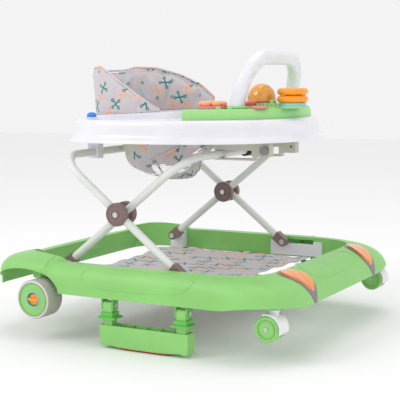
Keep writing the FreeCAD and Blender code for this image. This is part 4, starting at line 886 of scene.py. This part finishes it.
class WALKER_OT_toys(bpy.types.Operator):
    """Toy panel, dome, rings, flower and the other toys"""
    bl_idname = "walker.toys"
    bl_label = "Toys"

    def execute(self, context):
        tint = colours()
        green = toy_plastic("toy_green", tint.toy_green)
        orange = toy_plastic("ring_orange", tint.ring_orange)
        peach = toy_plastic("peach", tint.peach)
        pink = toy_plastic("pink", tint.pink)
        blue = toy_plastic("disc_blue", tint.disc_blue)
        rose = toy_plastic("rose", tint.rose)
        painted(green, "toy_panel", "toy_gear")
        painted(blue, "ring_post")
        painted(pink, "flower_disc", "mirror_disc")
        painted(toy_plastic("button_blue", tint.button_blue), "tray_button")
        self.tiers(green)
        self.stack(orange)
        self.dome(clear_plastic("dome_amber", tint.dome_amber, 60.0), rose)
        self.flower(peach)
        self.buttons(rose)
        return {"FINISHED"}

    def tiers(self, green):
        """A raised tier and small bosses on the panel."""
        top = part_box("toy_panel")[1].z
        look = (green, "tray", "toy_green")
        for name, post, reach in (("stack_ring", "ring_post", 0.0315), ("gear_ring", "toy_gear", 0.0215)):
            spot = middle(post)
            ring_bead("tier_" + name, (spot.x, spot.y, PANEL_DECK + 0.0008), reach, 0.0022, look, (0, 0, 1))
        for number, (x, y) in enumerate(((0.128, -0.150), (0.150, -0.142), (0.200, 0.070), (0.230, 0.030))):
            made = lathe("panel_stud_%d" % number, (x, y, PANEL_DECK - 0.001),
                         [(0.0055, 0), (0.0055, 0.003), (0.0048, 0.0042), (0.0030, 0.0052),
                          (0.0010, 0.0056)], 32)
            dressed(made, *look)
        for number, sign in enumerate((1, -1)):
            spot = (0.153, sign * 0.118, top - 0.006)
            ring_bead("handle_boss_%d" % number, spot, 0.0205, 0.0016, look, (0, 0, 1))

    def stack(self, orange):
        """Two chunky rings with soft lobes round them."""
        for name, lobes in (("ring_lower", 0), ("ring_upper", 9)):
            _, spot, reach, thick = round_size(name)
            thick /= 2
            reach -= thick
            around, across = 96, 28
            points = []
            for i in range(around):
                a = 2 * math.pi * i / around
                swell = 1 - (0.07 + 0.07 * math.cos(lobes * a) if lobes else 0.0)
                for k in range(across):
                    b = 2 * math.pi * k / across
                    r = reach + thick * swell * math.cos(b)
                    points.append((spot.x + r * math.cos(a), spot.y + r * math.sin(a),
                                   spot.z + thick * swell * math.sin(b)))
            made = outward(mesh_object(name + "_shaped", points, net(around, across, True, True)))
            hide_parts(name)
            dressed(made, orange, "ring_low" if name == "ring_lower" else "ring_high", "orange_plastic")

    def dome(self, amber, rose):
        """A ribbed, see-through looking dome with a bead round its rim."""
        low, spot, reach, tall = round_size("dome_roller")

        def ribs(angle, z):
            return 0.012 * abs(math.cos(angle * 9)) * math.sin(min(1.0, z / tall) * math.pi) ** 0.5

        profile = [(reach * 0.985, 0.0), (reach * 0.985, 0.006)]
        profile += [(reach * 0.97 * math.cos(a), 0.007 + (tall - 0.008) * math.sin(a))
                    for a in np.linspace(0, math.pi / 2 - 0.04, 26)]
        made = lathe("dome_shell", (spot.x, spot.y, low.z), profile, 108, ribs)
        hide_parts("dome_roller")
        dressed(made, amber, "dome", "amber_lens")
        ring_bead("dome_rim", (spot.x, spot.y, low.z + 0.002), reach - 0.0008, 0.0016,
                  (rose, "dome", "rose_plastic"), (0, 0, 1))

    def flower(self, peach):
        """Six rounded petals and a middle, one piece."""
        low, spot, _, _ = round_size("flower_petals")
        middle_up = low.z + 0.0035
        work = bmesh.new()
        for number in range(7):
            angle = math.radians(60 * number + 20)
            away = 0.0 if number == 6 else 0.0195
            blob = bmesh.ops.create_icosphere(work, subdivisions=3, radius=1.0)["verts"]
            size = (0.0085, 0.0085, 0.0078) if number == 6 else (0.0098, 0.0098, 0.0062)
            for vertex in blob:
                x, y, z = vertex.co
                dent = 1 - 0.16 * math.exp(-((x * x + y * y) / 0.12)) if z > 0 else 1
                vertex.co = Vector((spot.x + away * math.cos(angle) + x * size[0],
                                    spot.y + away * math.sin(angle) + y * size[1],
                                    middle_up + z * size[2] * dent))
        mesh = bpy.data.meshes.new("petals")
        work.to_mesh(mesh)
        work.free()
        made = placed("flower_lobes", mesh)
        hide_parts("flower_petals")
        dressed(made, peach, "flower", "peach_plastic")

    def buttons(self, rose):
        """Press buttons with soft edges."""
        low, spot, reach, tall = round_size("red_button")
        profile = [(reach, 0), (reach, tall * 0.55), (reach * 0.97, tall * 0.75), (reach * 0.88, tall * 0.9),
                   (reach * 0.70, tall * 0.98), (reach * 0.45, tall * 0.94), (reach * 0.15, tall * 0.90)]
        made = lathe("rose_button", (spot.x, spot.y, low.z), profile)
        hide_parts("red_button")
        dressed(made, rose, "red_button", "rose_plastic")
        low, spot, reach, tall = round_size("tray_button")
        profile = [(reach, 0), (reach, tall * 0.35)]
        profile += [(reach * math.cos(a), tall * (0.35 + 0.65 * math.sin(a)))
                    for a in np.linspace(0.1, math.pi / 2 - 0.05, 12)]
        made = lathe("blue_button", (spot.x, spot.y, low.z), profile)
        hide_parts("tray_button")
        dressed(made, toy_plastic("button_blue", colours().button_blue), "tray_button", "blue_plastic")
        ring_bead("button_collar", (spot.x, spot.y, low.z - 0.0022), reach + 0.0022, 0.0012,
                  (tray_plastic(), "tray", "white_plastic"), (0, 0, 1))


class WALKER_OT_seat_back(bpy.types.Operator):
    """The padded wall round the back of the seat, swelled as cloth, with a piped edge"""
    bl_idname = "walker.seat_back"
    bl_label = "Seat back"

    # Height of the top edge over x, on the far side and on the slacker near side
    TOP_LEFT = ((-0.30, 0.532), (-0.222, 0.534), (-0.205, 0.541), (-0.168, 0.539), (-0.115, 0.523),
                (-0.063, 0.500),
                (-0.033, 0.478), (-0.018, 0.463))
    TOP_RIGHT = ((-0.30, 0.530), (-0.222, 0.533), (-0.200, 0.541), (-0.175, 0.542), (-0.150, 0.532),
                 (-0.118, 0.511),
                 (-0.080, 0.487), (-0.050, 0.466), (-0.030, 0.454))

    def wall(self, angle, reach_add):
        """A point of the wall's plan at an angle from straight ahead."""
        low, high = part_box("seat_back")
        front_back = sizes().seat_middle - low.x - WALL_SOLID / 2 + reach_add
        side = high.y - WALL_SOLID / 2 + reach_add
        c, s = math.cos(angle), math.sin(angle)
        power = 2.2
        r = ((abs(c) / front_back) ** power + (abs(s) / side) ** power) ** (-1 / power)
        return np.array((sizes().seat_middle + r * c, r * s))

    def rim_height(self, x):
        """The tray's rim under the wall, a slope from back to front."""
        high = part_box("tray_shell")[1]
        back_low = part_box("seat_back")[0]
        share = (x - back_low.x) / (2 * (sizes().seat_middle - back_low.x))
        return back_low.z + (high.z - back_low.z) * min(1.0, max(0.0, share)) + 0.0006

    def execute(self, context):
        columns, tall_steps = 132, 15
        lead = math.radians(WALL_OPENING)
        angles = np.linspace(lead, 2 * math.pi - lead, columns)
        plan = np.array([self.wall(a, 0.0) for a in angles])
        run = np.concatenate([[0], np.cumsum(np.linalg.norm(np.diff(plan, axis=0), axis=1))])
        thick = sizes().wall_thick / 2
        loops, uvs = [], []
        folds = [(0.10, 0.30), (0.24, 0.45), (0.42, 0.62), (0.60, 0.55), (0.78, 0.40), (0.90, 0.28)]
        for i, angle in enumerate(angles):
            x, y = plan[i]
            outline = self.TOP_LEFT if y > 0 else self.TOP_RIGHT
            top = np.interp(x, *zip(*outline))
            base = self.rim_height(x)
            normal = self.wall(angle, 0.001) - plan[i]
            normal /= np.linalg.norm(normal)
            share = i / (columns - 1)
            loop, marks = [], []
            for side in (1, -1):
                steps = range(tall_steps) if side > 0 else reversed(range(tall_steps))
                for j in steps:
                    up = j / (tall_steps - 1)
                    z = base + (top - base) * up
                    puff = thick * (1 - 0.35 * (2 * up - 1) ** 4)
                    lean = 0.004 * up * up
                    crease = 0.0
                    for place, slope in folds:
                        gap = (share - place - slope * (up - 0.1) * (0.10 if y < 0 else -0.10)) / 0.011
                        crease -= 0.0042 * math.exp(-gap * gap) * math.sin(math.pi * min(1.0,
                                                                                         up * 1.1)) ** 0.5
                    offset = side * (puff + crease) + lean
                    loop.append((x + normal[0] * offset, y + normal[1] * offset, z))
                    marks.append((run[i], (z - base) if side > 0 else (0.30 - (z - base))))
            # The roll over the top edge
            crown = []
            for a in np.linspace(math.pi / 8, math.pi * 7 / 8, 5):
                offset = math.cos(a) * thick * 0.65 + 0.004
                crown.append(((x + normal[0] * offset, y + normal[1] * offset,
                               top + math.sin(a) * thick * 0.7),
                              (run[i], top - base + 0.004)))
            loop[tall_steps:tall_steps] = [c[0] for c in crown]
            marks[tall_steps:tall_steps] = [c[1] for c in crown]
            loops.append(loop)
            uvs.append(marks)
        size = len(loops[0])
        points = [p for loop in loops for p in loop]
        faces = net(columns, size, wrap_columns=True)
        for end in (0, columns - 1):
            for j in range(size // 2 - 1):
                a, b = end * size + j, end * size + j + 1
                c, d = end * size + size - 2 - j, end * size + size - 1 - j
                faces.append((a, b, c, d) if end == 0 else (d, c, b, a))
        made = outward(mesh_object("seat_back_pad", points, faces, [m for marks in uvs for m in marks]))
        heights = np.array([p[2] for p in points])
        bases = np.repeat([loop[0][2] for loop in loops], size)
        held = heights < bases + FOOT_HELD
        swelled(made, BACK_PRESSURE, sizes().back_swell, held)
        smoothed(made)
        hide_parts("seat_back")
        dressed(made, printed_cloth("seat_print", colours().cloth), "tray", "print_fabric")
        self.piping(loops, tall_steps)
        return {"FINISHED"}

    def piping(self, loops, tall_steps):
        """Piped edge along the top of the wall and the seam at its foot."""
        cloth = printed_cloth("seat_print", colours().cloth)
        crown = [np.array(loop[tall_steps + 2]) + np.array((0, 0, 0.0012)) for loop in loops]
        foot = [np.array(loop[0]) + np.array((0, 0, 0.0012)) for loop in loops]
        for name, path, radius in (("seat_piping", crown, 0.0022), ("seat_foot_seam", foot, 0.0014)):
            made = wire(name, path, radius)
            mark_tube(made, path)
            dressed(made, cloth, "tray", "print_fabric")


def mark_tube(made, path):
    """Cloth coordinates for a tube: along it, and round it."""
    path = np.asarray(path, float)
    run = np.concatenate([[0], np.cumsum(np.linalg.norm(np.diff(path, axis=0), axis=1))])
    layer = made.data.uv_layers.new(name="cloth")
    for loop in made.data.loops:
        ring, around = divmod(loop.vertex_index, TUBE_SIDES)
        layer.data[loop.index].uv = (run[min(ring, len(run) - 1)], around * 0.0008)


class WALKER_OT_seat_sling(bpy.types.Operator):
    """The hanging fabric seat: printed middle, plain side strips, leg holes and bound edges"""
    bl_idname = "walker.seat_sling"
    bl_label = "Seat sling"

    def execute(self, context):
        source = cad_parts["seat_sling"]
        made = bpy.data.objects.new("seat_sling_cloth", source.data.copy())
        bpy.context.scene.collection.objects.link(made)
        remesh = made.modifiers.new("even", "REMESH")
        remesh.mode = "VOXEL"
        remesh.voxel_size = SLING_VOXEL
        view = made.evaluated_get(bpy.context.evaluated_depsgraph_get())
        mesh = bpy.data.meshes.new_from_object(view)
        made.modifiers.clear()
        made.data = mesh
        mesh.polygons.foreach_set("use_smooth", [True] * len(mesh.polygons))
        low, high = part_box("seat_sling")
        edges = {side: self.hole_edge(sign) for side, sign in SIDES.items()}
        spots = np.array([v.co for v in mesh.vertices])
        self.creases(made, spots, low, high)
        spots = np.array([v.co for v in mesh.vertices])
        swelled(made, SLING_PRESSURE, SLING_SWELL, spots[:, 2] > high.z - RIM_HELD)
        soften = made.modifiers.new("soften", "SMOOTH")
        soften.iterations = 6
        soften.factor = 0.4
        self.mark_cloth(mesh)
        print_cloth = printed_cloth("seat_print", colours().cloth)
        plain = printed_cloth("seat_lining", colours().lining, printed=False)
        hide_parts("seat_sling")
        dressed(made, print_cloth, "tray", "print_fabric")
        mesh.materials.append(plain)
        centre = Vector(((low.x + high.x) / 2, 0, 0))
        for face in mesh.polygons:
            spot = face.center
            angle = abs(math.atan2(spot.y, spot.x - centre.x + 0.03))
            drop = (high.z - spot.z) / (high.z - low.z)
            strip = angle > 1.28 + 3.2 * max(0.0, drop - 0.5) or (angle < 0.30 and drop < 0.85)
            face.material_index = 1 if strip else 0
        self.bindings(edges)
        return {"FINISHED"}

    def creases(self, made, spots, low, high):
        """Long soft folds that hang from the rim."""
        wave = np.arctan2(spots[:, 1], spots[:, 0] - (low.x + high.x) / 2)
        drop = np.clip((high.z - spots[:, 2]) / (high.z - low.z), 0, 1)
        folds = np.sin(wave * 11 + 2.2 * drop) + 0.6 * np.sin(wave * 17 - 3 * drop)
        depth = 0.0016 * np.sin(drop * math.pi) * folds
        outward_way = np.column_stack([np.cos(wave), np.sin(wave), np.zeros(len(wave))])
        moved = spots + outward_way * depth[:, None]
        behind = np.clip((sizes().seat_middle - moved[:, 0]) / 0.10, 0, 1)
        moved[:, 0] += 0.040 * np.clip(drop - 0.3, 0, 1) * behind
        made.data.vertices.foreach_set("co", moved.astype(np.float32).ravel())
        made.data.update()

    def mark_cloth(self, mesh):
        """Cloth coordinates wrapped round the bowl."""
        layer = mesh.uv_layers.new(name="cloth")
        middle_x = sizes().seat_middle + 0.02
        for face in mesh.polygons:
            base = math.atan2(face.center.y, face.center.x - middle_x)
            for index in face.loop_indices:
                x, y, z = mesh.vertices[mesh.loops[index].vertex_index].co
                angle = math.atan2(y, x - middle_x)
                if angle - base > math.pi:
                    angle -= 2 * math.pi
                elif base - angle > math.pi:
                    angle += 2 * math.pi
                layer.data[index].uv = (angle * 0.085, z + 0.5 * math.hypot(x - middle_x, y))

    def hole_edge(self, sign):
        """The edge of a leg hole, where it breaks through the front of the bowl."""
        path = []
        for k in range(64):
            a = 2 * math.pi * k / 64
            start = (0.3, sign * HOLE_APART + HOLE_RADIUS * math.cos(a),
                     HOLE_HEIGHT + HOLE_RADIUS * math.sin(a))
            place, _ = on_surface("seat_sling", start, (-1, 0, 0))
            if place is not None and place.x > sizes().seat_middle + 0.03:
                path.append(np.array(place))
        return path

    def bindings(self, edges):
        """Bound edges round the leg holes."""
        cloth = printed_cloth("seat_print", colours().cloth)
        for side, path in edges.items():
            made = wire("leg_binding_" + side, path, 0.0022)
            mark_tube(made, path)
            dressed(made, cloth, "tray", "print_fabric")


class WALKER_OT_floor_mat(bpy.types.Operator):
    """The stretched floor mat with its hem, and the strap tabs that hold it"""
    bl_idname = "walker.floor_mat"
    bl_label = "Floor mat"

    def execute(self, context):
        low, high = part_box("floor_mat")
        rows, columns = 72, 80
        wide, long = high.y - low.y, high.x - low.x
        level = high.z - 0.0012
        points, uvs = [], []
        for i in range(rows):
            u = i / (rows - 1)
            for j in range(columns):
                v = j / (columns - 1)
                pull = MAT_WAIST * (1 - (2 * v - 1) ** 2)
                x = low.x + pull + (long - 2 * pull) * u
                y = low.y + wide * v
                edge = min(u, 1 - u, v, 1 - v)
                sag = sizes().mat_sag * (1 - (2 * u - 1) ** 2) * (1 - (2 * v - 1) ** 2)
                ripple = 0.0009 * math.sin(u * 19 + 3 * math.sin(v * 5)) * math.sin(v * 14 + u * 4)
                tension = 0.0014 * math.exp(-min(edge, 0.2) * 26) * math.sin((u + v) * 42)
                points.append((x, y, level - sag + ripple + tension))
                uvs.append((x * 0.92 + y * 0.18, y * 0.92 - x * 0.18))
        made = mesh_object("mat_cloth", points, net(rows, columns), uvs)
        thickened(made, "cloth_thickness", MAT_THICK, -1)
        smoothed(made)
        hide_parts("floor_mat")
        cloth = printed_cloth("seat_print", colours().cloth)
        dressed(made, cloth, "base", "print_fabric")
        rim = ([i * columns for i in range(rows)] + [(rows - 1) * columns + j for j in range(1, columns)]
               + [i * columns + columns - 1 for i in reversed(range(rows - 1))]
               + list(reversed(range(1, columns - 1))))
        path = np.array([points[i] for i in rim])
        hem = wire("mat_hem", path, HEM_WIDE, closed=True)
        mark_tube(hem, path)
        dressed(hem, cloth, "base", "print_fabric")
        self.straps()
        return {"FINISHED"}

    def straps(self):
        """Webbing tabs, each over the box of its plain solid."""
        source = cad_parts["mat_straps"]
        work = bmesh.new()
        work.from_mesh(source.data)
        bmesh.ops.remove_doubles(work, verts=work.verts, dist=1e-5)
        seen, groups = set(), []
        for vertex in work.verts:
            if vertex.index in seen:
                continue
            stack, group = [vertex], []
            seen.add(vertex.index)
            while stack:
                here = stack.pop()
                group.append(here.co.copy())
                for edge in here.link_edges:
                    other = edge.other_vert(here)
                    if other.index not in seen:
                        seen.add(other.index)
                        stack.append(other)
            groups.append(group)
        work.free()
        if not groups:
            raise RuntimeError("the mat has no straps")
        web = printed_cloth("strap_webbing", colours().webbing, printed=False)
        for number, group in enumerate(groups):
            low = Vector([min(p[k] for p in group) for k in range(3)])
            high = Vector([max(p[k] for p in group) for k in range(3)])
            long_way = 0 if high.x - low.x > high.y - low.y else 1
            short_way = 1 - long_way
            steps, across = 16, 6
            points, uvs = [], []
            for i in range(steps):
                f = i / (steps - 1)
                for j in range(across):
                    g = j / (across - 1)
                    spot = [0.0, 0.0, 0.0]
                    spot[long_way] = low[long_way] + (high[long_way] - low[long_way]) * f
                    spot[short_way] = low[short_way] + (high[short_way] - low[short_way]) * g
                    spot[2] = low.z + 0.0002 + 0.0018 * math.sin(math.pi * f) + 0.0005 * math.sin(math.pi * g)
                    points.append(spot)
                    uvs.append((f * (high[long_way] - low[long_way]), g * WEBBING_WIDE))
            made = mesh_object("mat_strap_%d" % number, points, net(steps, across), uvs)
            thickened(made, "webbing_thickness", WEBBING_THICK, 1)
            rounded(made, 0.0003)
            if not number:
                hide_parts("mat_straps")
            dressed(made, web, "base", "webbing")


class WALKER_OT_stage(bpy.types.Operator):
    """Pale floor, soft lights and the camera"""
    bl_idname = "walker.stage"
    bl_label = "Stage"

    def execute(self, context):
        scene = context.scene
        for name in ("Cube", "Light", "Camera"):
            if name in bpy.data.objects:
                bpy.data.objects.remove(bpy.data.objects[name])
        bpy.ops.mesh.primitive_plane_add(size=12, location=(0, 0, -0.0005))
        floor = context.active_object
        floor.name = "floor"
        floor.data.materials.append(studio_floor("studio_floor"))
        world = bpy.data.worlds.new("studio")
        world.use_nodes = True
        background = world.node_tree.nodes["Background"]
        background.inputs[0].default_value = (1, 1, 1, 1)
        background.inputs[1].default_value = WORLD_LIGHT
        scene.world = world
        scene.view_settings.view_transform = "Standard"
        for name, energy, size, place in LAMPS:
            lamp = bpy.data.lights.new(name, "AREA")
            lamp.energy = energy
            lamp.size = size
            made = bpy.data.objects.new(name, lamp)
            made.location = place
            made.rotation_euler = (Vector(LAMPS_AIM) - Vector(place)).to_track_quat("-Z", "Y").to_euler()
            scene.collection.objects.link(made)
        camera = bpy.data.cameras.new("camera")
        camera.lens = CAMERA_LENS
        camera.sensor_width = CAMERA_SENSOR
        made = bpy.data.objects.new("camera", camera)
        made.location = CAMERA_PLACE
        turn, tilt, roll = map(math.radians, (CAMERA_TURN, CAMERA_TILT, CAMERA_ROLL))
        made.rotation_mode = "QUATERNION"
        heading = Vector((-math.sin(turn) * math.cos(tilt), math.cos(turn) * math.cos(tilt), -math.sin(tilt)))
        made.rotation_quaternion = heading.to_track_quat("-Z", "Y") @ Quaternion((0, 0, 1), roll)
        scene.collection.objects.link(made)
        scene.camera = made
        return {"FINISHED"}


class WALKER_PT_panel(bpy.types.Panel):
    """Lists the walker's pieces in the sidebar"""
    bl_label = "Walker"
    bl_idname = "WALKER_PT_panel"
    bl_space_type = "VIEW_3D"
    bl_region_type = "UI"
    bl_category = "Walker"

    def draw(self, context):
        for operator in OPERATORS:
            self.layout.operator(operator.bl_idname)
        for group in (context.scene.walker_colours, context.scene.walker_sizes):
            for key in group.__annotations__:
                self.layout.prop(group, key)


OPERATORS = (WALKER_OT_stage, WALKER_OT_hard_parts, WALKER_OT_base_lines, WALKER_OT_wheel_trim,
             WALKER_OT_leg_trim, WALKER_OT_handle, WALKER_OT_toys, WALKER_OT_seat_back, WALKER_OT_seat_sling,
             WALKER_OT_floor_mat)
CLASSES = (WalkerColours, WalkerSizes, *OPERATORS, WALKER_PT_panel)


def register():
    for made in CLASSES:
        bpy.utils.register_class(made)
    bpy.types.Scene.walker_colours = PointerProperty(type=WalkerColours)
    bpy.types.Scene.walker_sizes = PointerProperty(type=WalkerSizes)


def unregister():
    del bpy.types.Scene.walker_colours
    del bpy.types.Scene.walker_sizes
    for made in reversed(CLASSES):
        bpy.utils.unregister_class(made)


def main():
    register()
    for operator in OPERATORS:
        getattr(bpy.ops.walker, operator.bl_idname.partition(".")[2])()


if __name__ == "__main__":
    main()
